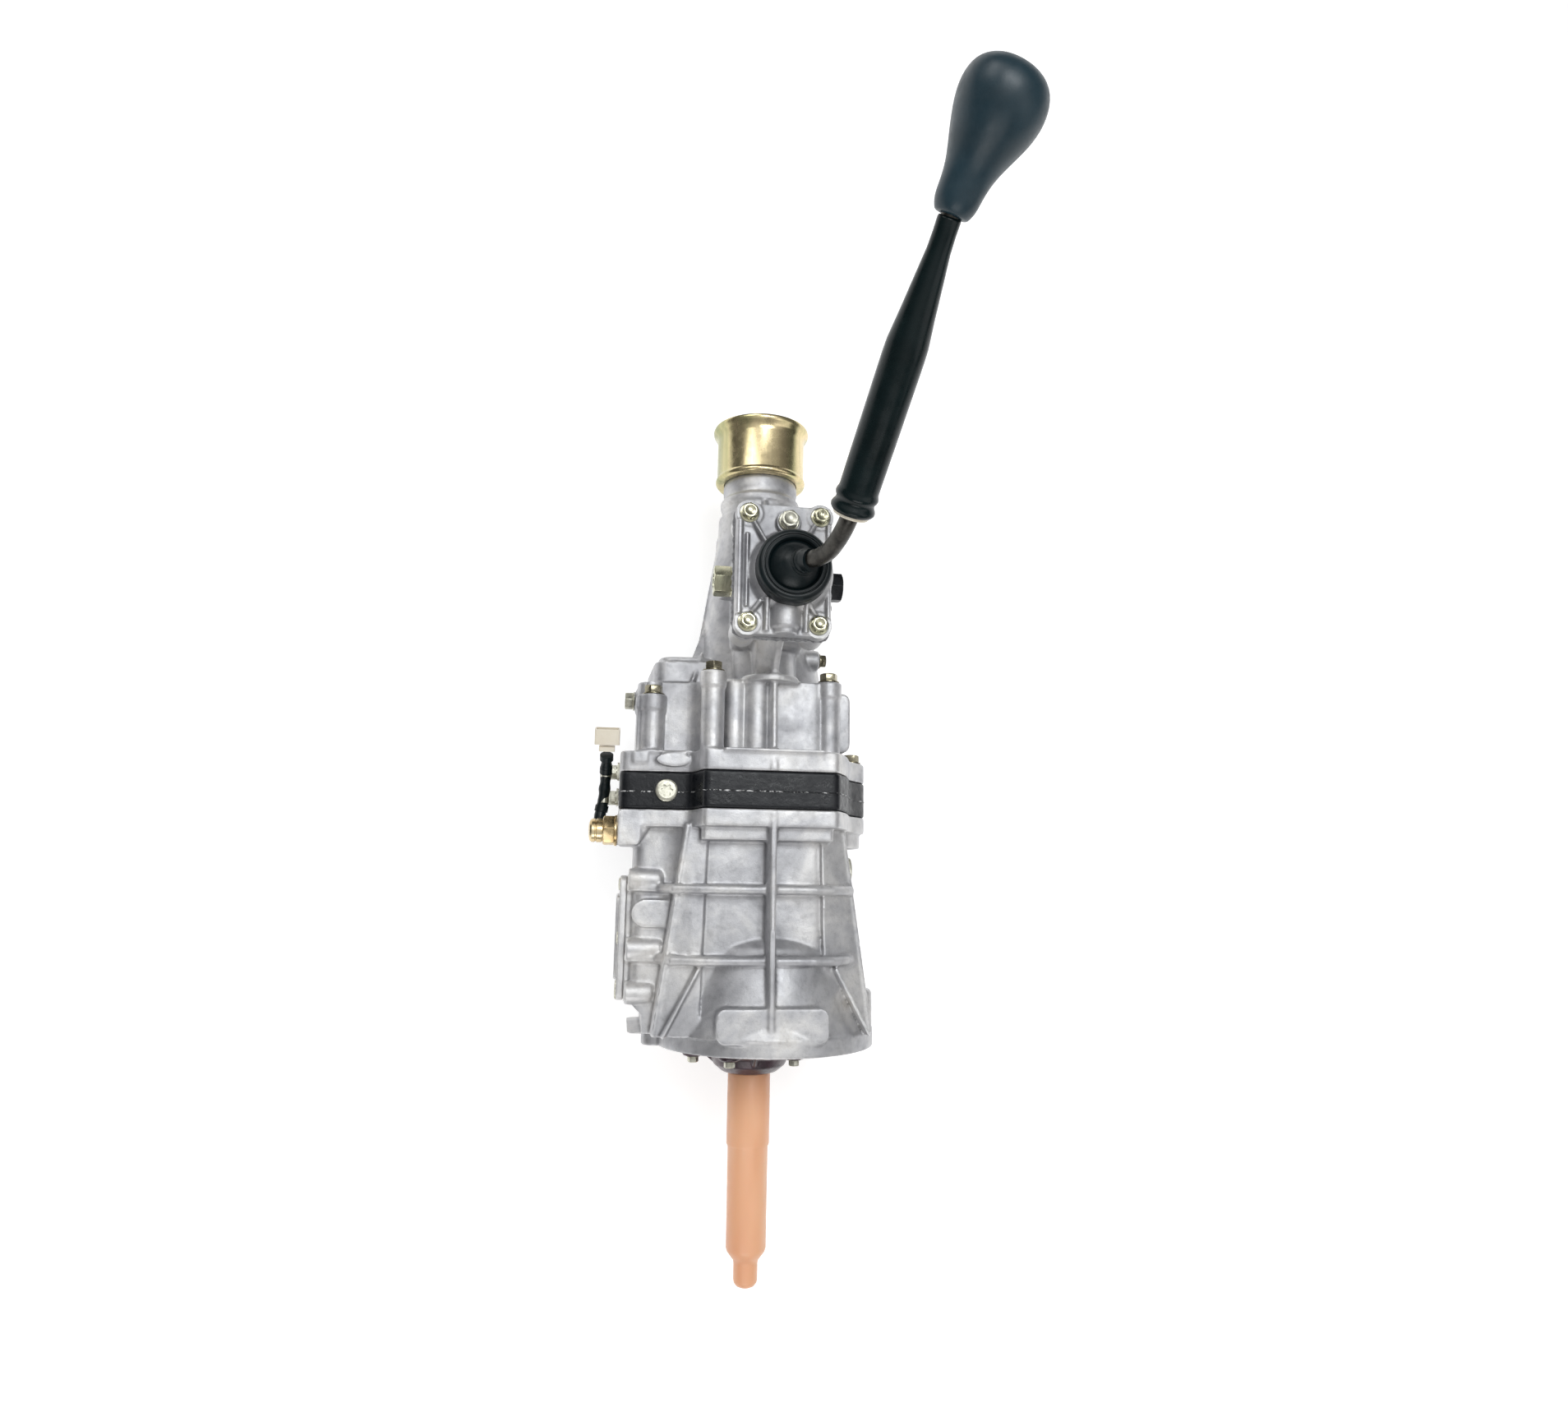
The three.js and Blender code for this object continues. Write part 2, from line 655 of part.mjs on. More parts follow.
function extensionHousing() {
  const body = [
    [-44, 74, 8],
    [-60, 50, 6],
    [-106, 46, 10],
    [-106, -44, 10],
    [-68, -48, 8],
    [-65, -88, 18],
    [-48, -132, 12],
    [52, -132, 12],
    [76, -92, 16],
    [76, -20, 14],
    [67, 40, 12],
    [46, 74, 8],
  ];
  const tail = turned(TAIL_OUTSIDE, 28);
  const jointFlange = alongY(outline(JOINT_FACE), PLATE_HALF, 33);
  const wide = alongY(outline(body), 30, BODY_END + 6);
  const railCover = alongY(outline([[-97, -40, 8], [-40, -42, 8], [-40, 46, 8], [-95, 43, 10]]), 86, 117);
  const columns = [[-93, 54, 10, 80], [-46, 84, 10, 96], [53, 66, 10, 94], [87, 0, 10, 34]].map(([x, z, radius, end]) =>
    barY(x, z, radius, 20, end, 14),
  );
  const ridge = barY(-20, 74, 8, 32, 92, 12);
  const neck = alongZ(rectangle(-29, 121, 32, 209, 8), 0, TOWER_TOP - 4);
  const pad = alongZ(rectangle(-37, 113, 38, 217, 9), TOWER_TOP - 11, TOWER_TOP);
  const fin = alongX(outline([[34, 60, 1], [34, 86, 2], [95, 80, 2], [114, 128, 1], [130, 128, 1], [130, 40, 1]]), 0, 5, 1);
  const pinBosses = [barX(169, 95, 12, -34, 0), barX(169, 95, 12, 0, 36)];
  const idlerBoss = barY(IDLER_X, IDLER_Z, 16, 84, 103, 16);
  const rodBoss = barY(0, ROD_Z, 18, 204, 223, 16);
  const rodRoof = barY(0, 45, 27, 90, 127, 12);
  const mountPad = box(-42, 196, -58, 42, 262, -30);
  const sideBoss = barX(121, 30, 9, 30, 51, 12);
  const outside = union(
    tail, jointFlange, wide, railCover, ...columns, ridge, neck, pad, fin, ...pinBosses, idlerBoss, rodBoss, rodRoof, mountPad, sideBoss,
  );
  const wideHollow = alongY(outline(inset(body, WALL)), PLATE_HALF - 1, BODY_END, 1);
  const tailHollow = turned(TAIL_INSIDE, 20);
  const towerHollow = alongZ(rectangle(-23, 127, 26, 203, 6), 0, TOWER_TOP + 1);
  const armRoom = alongY(outline([[-91, -35, 3], [-20, -36, 5], [-20, 44, 5], [-91, 38, 3]]), 80, 112.5);
  const rodRoom = union(alongY(rectangle(-20, 20, 20, 60, 4), 80, 128), alongY(rectangle(-20, 20, 20, 66, 6), 125, 203));
  const guideRoom = barY(0, ROD_Z, 14.6, 200, 219, 16);
  return cut(
    outside,
    wideHollow,
    tailHollow,
    towerHollow,
    armRoom,
    rodRoom,
    guideRoom,
    barY(IDLER_X, IDLER_Z, 9 + FIT, 80, 100, 14),
    ...[-36, 30].map((x) => barX(169, 95, 7 + FIT, x, x + 8, 12)),
    ...boltHoles(10, 100),
    ...CASE_BOLTS.map(([x, z, seat]) => barY(x, z, 9.6, seat, seat + 34, 16)),
    ...TOWER_BOLTS.map(([x, y]) => barZ(x, y, TOWER_BOLT.shank + 2 * FIT, TOWER_TOP - 21, TOWER_TOP + 1, 8)),
  );
}

// ---------------------------------------------------------------- front bearing retainer
const RETAINER_BOLTS = [
  [-49, 18],
  [-22, 47],
  [31, 42],
  [50, -12],
  [26, -104],
  [-26, -104],
];

// It sits in a shallow recess, so that the clutch housing's face is clear of it.
function retainerLobes(front, back, margin = 0) {
  return union(
    barY(0, 0, 52 + margin, front, back, margin ? 16 : 24),
    barY(0, -CENTRE_DISTANCE, 34 + margin, front, back, margin ? 12 : 18),
    ...RETAINER_BOLTS.map(([x, z]) => barY(x, z, 9 + margin, front, back, margin ? 6 : 10)),
    box(-30 - margin, front, -80, 30 + margin, back, 0),
  );
}

function bearingRetainer() {
  const face = RETAINER_SEAT - FIT;
  const lobes = retainerLobes(face - 7, face);
  const hubAndNose = turned(
    [
      [0, NOSE_TUBE.front],
      [NOSE_TUBE.outer, NOSE_TUBE.front],
      [NOSE_TUBE.outer, -228],
      [24, -227.5],
      [30, -222],
      [33, -215],
      [42, -210],
      [42, face - 1],
      [0, face - 1],
    ],
    20,
  );
  return cut(
    union(lobes, hubAndNose),
    barY(0, 0, NOSE_TUBE.inner, -300, -200, 20),
    turned([[0, -216], [20, -216], [26, -206], [26, -203], [0, -203]], 16),
    ...RETAINER_BOLTS.map(([x, z]) => barY(x, z, 3 + FIT, -220, -200, 6)),
  );
}

// The transit cover is a thin moulded cap pushed over the retainer's nose and the input shaft.
const shaftCover = () =>
  turned([
    [0, -396.4],
    [7.5, -396.4],
    [9.8, -393.5],
    [9.8, -373.5],
    [13.5, -372.5],
    [16.7, -368],
    [16.7, -287.5],
    [17.8, -286],
    [17.8, -229],
    [15.4, -229],
    [15.4, -283.5],
    [14.5, -284.5],
    [14.5, -366],
    [7.9, -372],
    [7.9, -394],
    [0, -394],
  ], 16);

// ---------------------------------------------------------------- lever retainer, cap and lever
const TOWER_BOLTS = [[-27, 209], [29, 209], [-27, 122], [28, 122]];

// A profile of [radius, height] pairs turned about the vertical axis through the lever's ball.
const turnedUp = (profile, sides = 24) => {
  const closed = profile[0][0] === 0 ? profile : [...profile, profile[0]];
  const points = closed.map(([r, z]) => new THREE.Vector2(r, z));
  return moved(solidOf(new THREE.LatheGeometry(points, sides).rotateX(Math.PI / 2)), PIVOT.x, PIVOT.y, 0);
};

function leverRetainer() {
  const plate = alongZ(rectangle(-37, 113, 38, 217, 9), COVER_BASE, COVER_TOP);
  const turret = turnedUp([[0, 145], [33, 145], [31, 155], [26.4, 155], [26.4, 164], [0, 164]]);
  const foot = alongZ(rectangle(-17, 116, 18, 160, 6), COVER_TOP - 1, 154.6);
  const ribs = [1, -1].flatMap((sx) =>
    [1, -1].map((sy) => {
      const shape = outline([[24, -2, 0.5], [34, -2, 0.5], [34, 2, 0.5], [24, 2, 0.5]]);
      const angle = Math.atan2(sy * 44, sx * 28);
      return alongZ(shape, COVER_TOP - 1, 153, 1).rotate([0, 0, (angle * 180) / Math.PI]).translate([PIVOT.x, PIVOT.y, 0]);
    }),
  );
  const plugBoss = barZ(3, 202, 9, COVER_TOP - 1, 154, 16);
  return cut(
    union(plate, turret, foot, ...ribs, plugBoss),
    turnedUp([[0, 143], [24.4, 143], [24.4, 165], [0, 165]]),
    turnedUp([[0, 130], [15, 130], [15, 144], [0, 144]]),
    barZ(3, 202, 5 + FIT, 142, 160, 12),
    ...TOWER_BOLTS.map(([x, y]) => barZ(x, y, TOWER_BOLT.shank + 2 * FIT, 130, 150, 8)),
  );
}

const leverCap = () =>
  turnedUp([[26.7, 155.4], [28.8, 155.4], [28.8, 166.5], [26.5, 170.5], [20.2, 170.5], [20.2, 168.2], [25.5, 168.2], [26.7, 166.5]], 24);

const leverSeat = () =>
  turnedUp([[12.4, 148], [18, 148], [18, 160], [12.4, 160]], 20);

// The lever's centreline: out of the ball, through an elbow, then straight to the knob.
const ROD_START = new THREE.Vector3(33, 180, 239);
const ROD_END = new THREE.Vector3(65, 323, 363);
const ROD_DIRECTION = ROD_END.clone().sub(ROD_START).normalize();
const ROD_RADIUS = 6;
const DAMPER_LENGTH = ROD_START.distanceTo(ROD_END);
const rodPoint = (distance) => ROD_START.clone().addScaledVector(ROD_DIRECTION, distance).toArray();
const [LEVER_STEPS, LEVER_SIDES] = [12, 8];
const leverLine = along([PIVOT.toArray(), [11, 163, 178], [21, 159.5, 194], [28.5, 162, 213], rodPoint(0), rodPoint(60)]);

function shiftLever() {
  const socketZ = PIVOT.z - LOWER_ARM;
  const ball = solidOf(new THREE.SphereGeometry(12, 12, 8).translate(...PIVOT.toArray()));
  const tip = solidOf(new THREE.SphereGeometry(7.6, 10, 6).translate(PIVOT.x, PIVOT.y, socketZ));
  const arm = barZ(PIVOT.x, PIVOT.y, 5.5, socketZ, PIVOT.z, 10);
  const bend = tubeAlong(leverLine, ROD_RADIUS, LEVER_STEPS, LEVER_SIDES);
  const rod = pointed(barY(0, 0, ROD_RADIUS, 40, DAMPER_LENGTH + 34, 8), ROD_DIRECTION, ROD_START);
  return union(ball, tip, arm, bend, rod);
}

function leverBoot() {
  const arc = (radius, from, to, steps) =>
    Array.from({ length: steps + 1 }, (_, i) => {
      const polar = ((from + ((to - from) * i) / steps) * Math.PI) / 180;
      return [radius * Math.sin(polar), PIVOT.z + radius * Math.cos(polar)];
    });
  const dome = turnedUp([[0, 182], [8, 180.5], ...arc(DOME_RADIUS, 26, 68, 2), ...arc(DOME_RADIUS - 2.4, 68, 22, 2), [0, 176]], 18);
  return dome.subtract(tubeAlong(leverLine, ROD_RADIUS + FIT, LEVER_STEPS, LEVER_SIDES));
}

function leverDamper() {
  const profile = [
    [0, 0],
    [14.2, 0],
    [15.8, 3],
    [15.4, 6],
    [13.8, 8.5],
    [15.2, 13],
    [14.2, 17],
    [14.2, 108],
    [11.5, 135],
    [7.6, 172],
    [7.6, DAMPER_LENGTH - 1.5],
    [0, DAMPER_LENGTH - 1.5],
  ];
  const grip = pointed(turned(profile, 16), ROD_DIRECTION, ROD_START);
  const bore = pointed(barY(0, 0, ROD_RADIUS + 2 * FIT, 2, DAMPER_LENGTH + 5, 12), ROD_DIRECTION, ROD_START);
  return cut(grip, bore, tubeAlong(leverLine, ROD_RADIUS + FIT, LEVER_STEPS, LEVER_SIDES));
}

const KNOB_DIRECTION = new THREE.Vector3(0.28, 0.79, 0.544).normalize();
function gearKnob() {
  const profile = [
    [0, 0],
    [11, 0],
    [12.8, 3],
    [14, 14],
    [18, 30],
    [24, 46],
    [28.5, 59],
    [29, 68],
    [25.5, 78],
    [17, 84.5],
    [8, 87],
    [0, 87.5],
  ];
  const start = ROD_START.clone().addScaledVector(ROD_DIRECTION, DAMPER_LENGTH);
  const body = pointed(turned(profile, 16), KNOB_DIRECTION, start);
  const bore = pointed(barY(0, 0, ROD_RADIUS + FIT, DAMPER_LENGTH - 8, DAMPER_LENGTH + 36, 14), ROD_DIRECTION, ROD_START);
  return body.subtract(bore);
}

// ---------------------------------------------------------------- tail, plugs and switch
const DEFLECTOR_WALL = 1.8;
const dustDeflector = () =>
  turnedRing([
    [33.5 + FIT, 291],
    [38.5, 291],
    [40.4, 293.5],
    [40.4, 334],
    [44.6, 342.5],
    [44.6, 344.5],
    [43, 344.5],
    [40.4 - DEFLECTOR_WALL, 338],
    [40.4 - DEFLECTOR_WALL, 300],
    [33.5 + FIT, 300],
  ], 26);

const rearSeal = () =>
  turnedRing([[19.3, 323.5], [27, 323.5], [27, 336.5], [30.5, 336.5], [30.5, 338.5], [19.3, 338.5]], 20);

const sideCover = () => {
  const plate = alongX(rectangle(-167, -28, -68, 42, 9), -114, -108.3);
  const raised = alongX(rectangle(-152, -14, -83, 28, 6), -116.5, -113);
  return plate.add(raised);
};

function reverseSwitch() {
  const turnedPart = turned([[0, -28], [7, -28], [7, -1.5], [12, -1.5], [12, 1], [8, 1], [8, 9], [9.6, 10.5], [9.6, 20], [8, 22], [0, 22]], 14);
  const hexagon = solidOf(new THREE.CylinderGeometry(12.8, 12.8, 9, 6).translate(0, 5.4, 0));
  return pointed(union(turnedPart, hexagon), LEFT, new THREE.Vector3(-119.6, -32, 40));
}

const LEAD_RADIUS = 3.4;
const LEAD_ROUTE = [
  [-136, -32, 30],
  [-136, -31.5, 24],
  [-135, -27, 17],
  [-133, -17, 14],
  [-131, -4, 15],
  [-130, 10, 19],
  [-129.5, 22, 27],
  [-129.5, 31, 34.2],
];
const switchLead = () => tubeAlong(along(LEAD_ROUTE), LEAD_RADIUS, 14, 8);

// The two-way connector housing on the lead, wider at its mouth.
function leadConnector() {
  const start = new THREE.Vector3(-129.5, 32.4, 35.4);
  const direction = new THREE.Vector3(0, 1, 0.35).normalize();
  const shell = solidOf(
    new THREE.CylinderGeometry(13.6, 9.6, 21, 4).rotateY(Math.PI / 4).scale(1, 1, 0.72).translate(0, 10.7, 0),
  );
  const mouth = box(-6.5, 16, -4.2, 6.5, 22, 4.2);
  return pointed(shell.subtract(mouth), direction, start);
}

// A steel strip clip: a loop round the lead and a tab against the plate's side.
function leadBracket() {
  const loop = moved(ring(LEAD_RADIUS + 0.6, LEAD_RADIUS + 2.2, -8, 2, 16), -131.2, 0, 15);
  const tab = box(-119.6, -8, 4, -118.3, 2, 26);
  const bridge = box(-127.5, -8, 10, -118.4, 2, 11.6);
  const room = tubeAlong(along(LEAD_ROUTE), LEAD_RADIUS + FIT, 14, 8);
  return union(loop, tab, bridge).subtract(room);
}

// A plain hexagon plug with a threaded shank, its seat on the origin.
function hexPlug(thread, length, acrossFlats, head, collar = acrossFlats / 2 + 0.6) {
  const hexagon = new THREE.CylinderGeometry(acrossFlats / Math.sqrt(3), acrossFlats / Math.sqrt(3), head, 6);
  return union(
    turned([[0, -length], [thread, -length], [thread, 0], [collar, 0], [collar, 1.6], [0, 1.6]], 12),
    solidOf(hexagon.translate(0, 1.4 + head / 2, 0)),
  );
}

// ---------------------------------------------------------------- assembly
const group = new THREE.Group();
const add = (name, solid, material) => group.add(meshOf(name, solid, material));

add("front_case", frontCase(), castAluminium);
add("intermediate_plate", intermediatePlate(), blackPaint);
add("extension_housing", extensionHousing(), castAluminium);
add("front_bearing_retainer", bearingRetainer(), brownPaint);
add("shift_lever_retainer", leverRetainer(), castAluminium);
add("lever_cap", leverCap(), blackPaint);
add("dust_deflector", dustDeflector(), yellowZinc);
add("rear_oil_seal", rearSeal(), blackRubber);
add("side_cover", sideCover(), castAluminium);

add("reverse_light_switch", reverseSwitch(), yellowZinc);
add("switch_lead", switchLead(), blackRubber);
add("lead_connector", leadConnector(), whiteNylon);
add("lead_bracket", leadBracket(), paleZinc);
add("restrict_pin_left", pointed(hexPlug(7, 4, 22, 15), LEFT, new THREE.Vector3(-34 - FIT, 169, 95)), yellowZinc);
add("restrict_pin_right", pointed(hexPlug(7, 4, 22, 21), RIGHT, new THREE.Vector3(36 + FIT, 169, 95)), blackPaint);
add("breather_plug", pointed(hexPlug(5, 9, 13, 13), UP, new THREE.Vector3(3, 202, 154 + FIT)), paleZinc);
add("filler_plug", pointed(hexPlug(8, 12, 22, 7, 13), RIGHT, new THREE.Vector3(79 + FIT, -61, 0)), paleZinc);
add("drain_plug", pointed(hexPlug(8, 10, 19, 4, 12), DOWN, new THREE.Vector3(0, -100, -126 - FIT)), paleZinc);
add("detent_plug", moved(pointed(turned([[0, -14], [6, -14], [6, 0], [8, 0.2], [8, 2.2], [6.5, 3.2], [0, 3.2]], 20), UP), RAIL_X, 0, 65.2), yellowZinc);

TOWER_BOLTS.forEach(([x, y], i) =>
  add(`tower_bolt_${i + 1}`, pointed(hexBolt(TOWER_BOLT), UP, new THREE.Vector3(x, y, COVER_TOP)), yellowZinc),
);
// The fourth bolt, in the right-hand ear, repeats these three.
CASE_BOLTS.slice(0, 3).forEach(([x, z, seat], i) =>
  add(
    `extension_bolt_${i + 1}`,
    pointed(hexBolt({ ...CASE_BOLT, length: seat - CASE_BOLT_END }), REAR, new THREE.Vector3(x, seat, z)),
    yellowZinc,
  ),
);

add("input_bearing", bearing(18, 36, -201.7, -184.3), bearingSteel);
add("center_bearing", bearing(20 + FIT, 40, -12, 12), bearingSteel);
add("counter_front_bearing", moved(bearing(10 + FIT, 22, -199.7, -184.3), 0, 0, -CENTRE_DISTANCE), bearingSteel);
add("counter_center_bearing", moved(bearing(13 + FIT, 26, -12, 12), 0, 0, -CENTRE_DISTANCE), bearingSteel);

add("input_shaft", inputShaft(), gearSteel);
add("shaft_cover", shaftCover(), orangePlastic);
add("output_shaft", outputShaft(), gearSteel);
for (const key of ["12", "34", "5r"]) {
  add(`hub_${key}`, hub(key), gearSteel);
  add(`sleeve_${key}`, sleeve(key), gearSteel);
  add(`rail_${key}`, rail(key), bearingSteel);
  add(`fork_${key}`, fork(key), syncroBrass);
}
add("first_gear", speedGear("first", [-1]), gearSteel);
add("second_gear", speedGear("second", [1]), gearSteel);
add("third_gear", speedGear("third", [-1]), gearSteel);
add("fifth_gear", speedGear("fifth", [1]), gearSteel);
add("reverse_gear", reverseGear(), gearSteel);
add("countershaft", countershaft(), gearSteel);
add("reverse_idler_gear", idlerGear(), gearSteel);
add("idler_shaft", idlerShaft(), bearingSteel);

add("rod_guide", rodGuide(), gearSteel);
add("shift_rod", shiftRod(), gearSteel);
add("lever_ball_seat", leverSeat(), whiteNylon);
add("shift_lever", shiftLever(), leverSteel);
add("lever_boot", leverBoot(), blackRubber);
add("lever_damper", leverDamper(), blackPaint);
add("gear_knob", gearKnob(), blackRubber);

group.position.z = SHAFT_HEIGHT;

export default group;
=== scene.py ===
"""A rear-drive manual gearbox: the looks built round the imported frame.

Numbers in the shape code are millimetres about the main shaft: +X right, +Y to the tail, +Z up.
They become metres in the row frame in put().
"""

import math

import bmesh
import bpy
from mathutils import Matrix, Vector, noise


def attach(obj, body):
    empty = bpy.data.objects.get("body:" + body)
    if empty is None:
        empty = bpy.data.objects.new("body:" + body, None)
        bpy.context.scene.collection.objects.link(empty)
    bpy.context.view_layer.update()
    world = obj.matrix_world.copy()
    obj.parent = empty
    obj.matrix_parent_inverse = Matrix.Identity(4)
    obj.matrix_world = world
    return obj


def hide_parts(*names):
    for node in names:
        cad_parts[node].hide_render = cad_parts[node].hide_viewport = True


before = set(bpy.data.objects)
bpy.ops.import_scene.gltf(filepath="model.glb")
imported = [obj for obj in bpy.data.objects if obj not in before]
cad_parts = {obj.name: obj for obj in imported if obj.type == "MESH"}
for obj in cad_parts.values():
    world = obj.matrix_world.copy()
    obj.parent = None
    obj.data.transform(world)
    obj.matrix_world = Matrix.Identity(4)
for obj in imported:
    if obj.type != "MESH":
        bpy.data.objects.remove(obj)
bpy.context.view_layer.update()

MM = 0.001
SHAFT_Z = 132.0  # the main shaft's height above the ground
VOXEL = 1.15
COUNTER_Z = -71.5


# ------------------------------------------------------------------ camera
def make_camera():
    pitch, lean, roll = math.radians(10.3), math.radians(9.0), math.radians(0.8)
    forward = Vector((math.sin(lean) * math.cos(pitch), math.sin(pitch), -math.cos(lean) * math.cos(pitch)))
    up = (Vector((0, 1, 0)) - forward * forward.y).normalized()
    right = forward.cross(up)
    right, up = right * math.cos(roll) + up * math.sin(roll), up * math.cos(roll) - right * math.sin(roll)
    data = bpy.data.cameras.new("camera")
    data.lens = 36 * 1225 / 1908
    data.clip_end = 50
    camera = bpy.data.objects.new("camera", data)
    bpy.context.scene.collection.objects.link(camera)
    turn = Matrix((right, up, -forward)).transposed()
    camera.matrix_world = Matrix.Translation(Vector((-114.6, -73.65, 1016.4)) * MM) @ turn.to_4x4()
    bpy.context.scene.camera = camera


make_camera()


# ------------------------------------------------------------------ shape kit
# A solid is (points, faces), closed, in millimetres about the main shaft.
AXES = {
    "X": lambda u, v, w: (w, u, v),  # outline in Y, Z
    "Y": lambda u, v, w: (u, w, v),  # outline in X, Z
    "Z": lambda u, v, w: (u, v, w),  # outline in X, Y
}


def rounded(corners, steps=6):
    """An outline through (u, v, radius) corners, each rounded off."""
    points = []
    for i, (u, v, radius) in enumerate(corners):
        here = Vector((u, v))
        before = Vector(corners[i - 1][:2]) - here
        after = Vector(corners[(i + 1) % len(corners)][:2]) - here
        start, end = here + before.normalized() * radius, here + after.normalized() * radius
        for k in range(steps + 1):
            t = k / steps
            points.append(tuple(start * (1 - t) ** 2 + here * 2 * t * (1 - t) + end * t * t))
    return points


def box_outline(u0, v0, u1, v1, radius, steps=6):
    return rounded([(u0, v0, radius), (u1, v0, radius), (u1, v1, radius), (u0, v1, radius)], steps)


def prism(axis, outline, w0, w1):
    """The outline extruded along an axis."""
    place, n = AXES[axis], len(outline)
    points = [place(u, v, w) for w in (w0, w1) for u, v in outline]
    faces = [tuple(range(n)), tuple(range(n, 2 * n))]
    faces += [(i, (i + 1) % n, n + (i + 1) % n, n + i) for i in range(n)]
    return points, faces


def block(x0, y0, z0, x1, y1, z1, radius=1.0):
    return prism("Z", box_outline(x0, y0, x1, y1, radius, 3), z0, z1)


def lathe(axis, centre, profile, steps=96, closed=False):
    """A profile of (radius, station) pairs turned about an axis through a centre."""
    place = AXES[axis]
    points, rings = [], []
    for radius, w in profile:
        if radius < 1e-6:
            rings.append([len(points)])
            points.append((0, 0, w))
        else:
            rings.append(list(range(len(points), len(points) + steps)))
            points += [
                (radius * math.cos(2 * math.pi * k / steps), radius * math.sin(2 * math.pi * k / steps), w)
                for k in range(steps)
            ]
    faces = []
    pairs = list(zip(rings, rings[1:])) + ([(rings[-1], rings[0])] if closed else [])
    for a, b in pairs:
        for k in range(steps):
            j = (k + 1) % steps
            quad = [a[k % len(a)], a[j % len(a)], b[j % len(b)], b[k % len(b)]]
            quad = list(dict.fromkeys(quad))
            if len(quad) > 2:
                faces.append(tuple(quad))
    offset = Vector(centre)
    return [tuple(Vector(place(u, v, w)) + offset) for u, v, w in points], faces


def bar(axis, centre, radius, w0, w1, end_radius=None, steps=48):
    end_radius = radius if end_radius is None else end_radius
    return lathe(axis, centre, [(0, w0), (radius, w0), (end_radius, w1), (0, w1)], steps)


def pin(axis, centre, radius, w0, w1, round_end=2.0, steps=40):
    """A bar whose far end is rounded over."""
    turn = [
        (
            radius - round_end + round_end * math.cos(a),
            w1 + math.copysign(round_end, w0 - w1) * (1 - math.sin(a))
        )
        for a in (0, math.pi / 6, math.pi / 3, math.pi / 2)
    ]
    return lathe(axis, centre, [(0, w0), (radius, w0), *turn, (0, w1)], steps)


def beam(start, end, width, height, across=(0, 0, 1)):
    """A rib: a rounded strip from one point to another, standing along a direction."""
    a, b = Vector(start), Vector(end)
    along = (b - a).normalized()
    side = along.cross(Vector(across)).normalized()
    up = side.cross(along)
    section = [(-0.5, -1), (0.5, -1), (0.5, -0.15), (0.3, 0), (-0.3, 0), (-0.5, -0.15)]
    points = [tuple(p + side * width * s + up * height * h) for p in (a, b) for s, h in section]
    n = len(section)
    faces = [tuple(range(n)), tuple(range(n, 2 * n))]
    faces += [(i, (i + 1) % n, n + (i + 1) % n, n + i) for i in range(n)]
    return points, faces


def swung(solid, axis, direction_from, direction_to, start):
    """A solid made about the origin, turned from one direction to another and moved to a start."""
    turn = Vector(direction_from).rotation_difference(Vector(direction_to))
    points, faces = solid
    return [tuple(turn @ Vector(p) + Vector(start)) for p in points], faces


def tube(path, radii, steps=24):
    """A round tube along a list of points, with its own radius at each."""
    path = [Vector(p) for p in path]
    points, faces = [], []
    tangent = (path[1] - path[0]).normalized()
    side = tangent.orthogonal().normalized()
    for i, here in enumerate(path):
        ahead = path[min(i + 1, len(path) - 1)] - path[max(i - 1, 0)]
        turn = tangent.rotation_difference(ahead.normalized())
        side, tangent = (turn @ side).normalized(), ahead.normalized()
        other = tangent.cross(side)
        radius = radii[i] if isinstance(radii, (list, tuple)) else radii
        for k in range(steps):
            angle = 2 * math.pi * k / steps
            points.append(tuple(here + (side * math.cos(angle) + other * math.sin(angle)) * radius))
    for i in range(len(path) - 1):
        for k in range(steps):
            j = (k + 1) % steps
            faces.append((i * steps + k, i * steps + j, (i + 1) * steps + j, (i + 1) * steps + k))
    faces += [tuple(range(steps)), tuple(range((len(path) - 1) * steps, len(path) * steps))]
    return points, faces


def smooth_path(points, per_span=8):
    """A Catmull-Rom line through the points."""
    pts = [Vector(p) for p in points]
    pts = [pts[0] * 2 - pts[1], *pts, pts[-1] * 2 - pts[-2]]
    line = []
    for i in range(1, len(pts) - 2):
        a, b, c, d = pts[i - 1 : i + 3]
        for k in range(per_span):
            t = k / per_span
            line.append(0.5 * (2 * b + (c - a) * t + (2 * a - 5 * b + 4 * c - d) * t * t + (3 * b - a - 3 * c + d) * t**3))
    return [tuple(p) for p in [*line, pts[-2]]]


def put(name, *solids):
    """One object from solids, in the row frame, with outward faces."""
    mesh = bpy.data.meshes.new(name)
    bm = bmesh.new()
    for points, faces in solids:
        made = [bm.verts.new((x * MM, y * MM, (z + SHAFT_Z) * MM)) for x, y, z in points]
        for face in faces:
            bm.faces.new([made[i] for i in face])
    bmesh.ops.recalc_face_normals(bm, faces=bm.faces)
    bm.to_mesh(mesh)
    bm.free()
    obj = bpy.data.objects.new(name, mesh)
    bpy.context.scene.collection.objects.link(obj)
    return obj


def bake(obj):
    """Applies the modifiers."""
    bpy.context.view_layer.update()
    graph = bpy.context.evaluated_depsgraph_get()
    mesh = bpy.data.meshes.new_from_object(obj.evaluated_get(graph))
    old = obj.data
    obj.modifiers.clear()
    obj.data = mesh
    bpy.data.meshes.remove(old)
    return obj


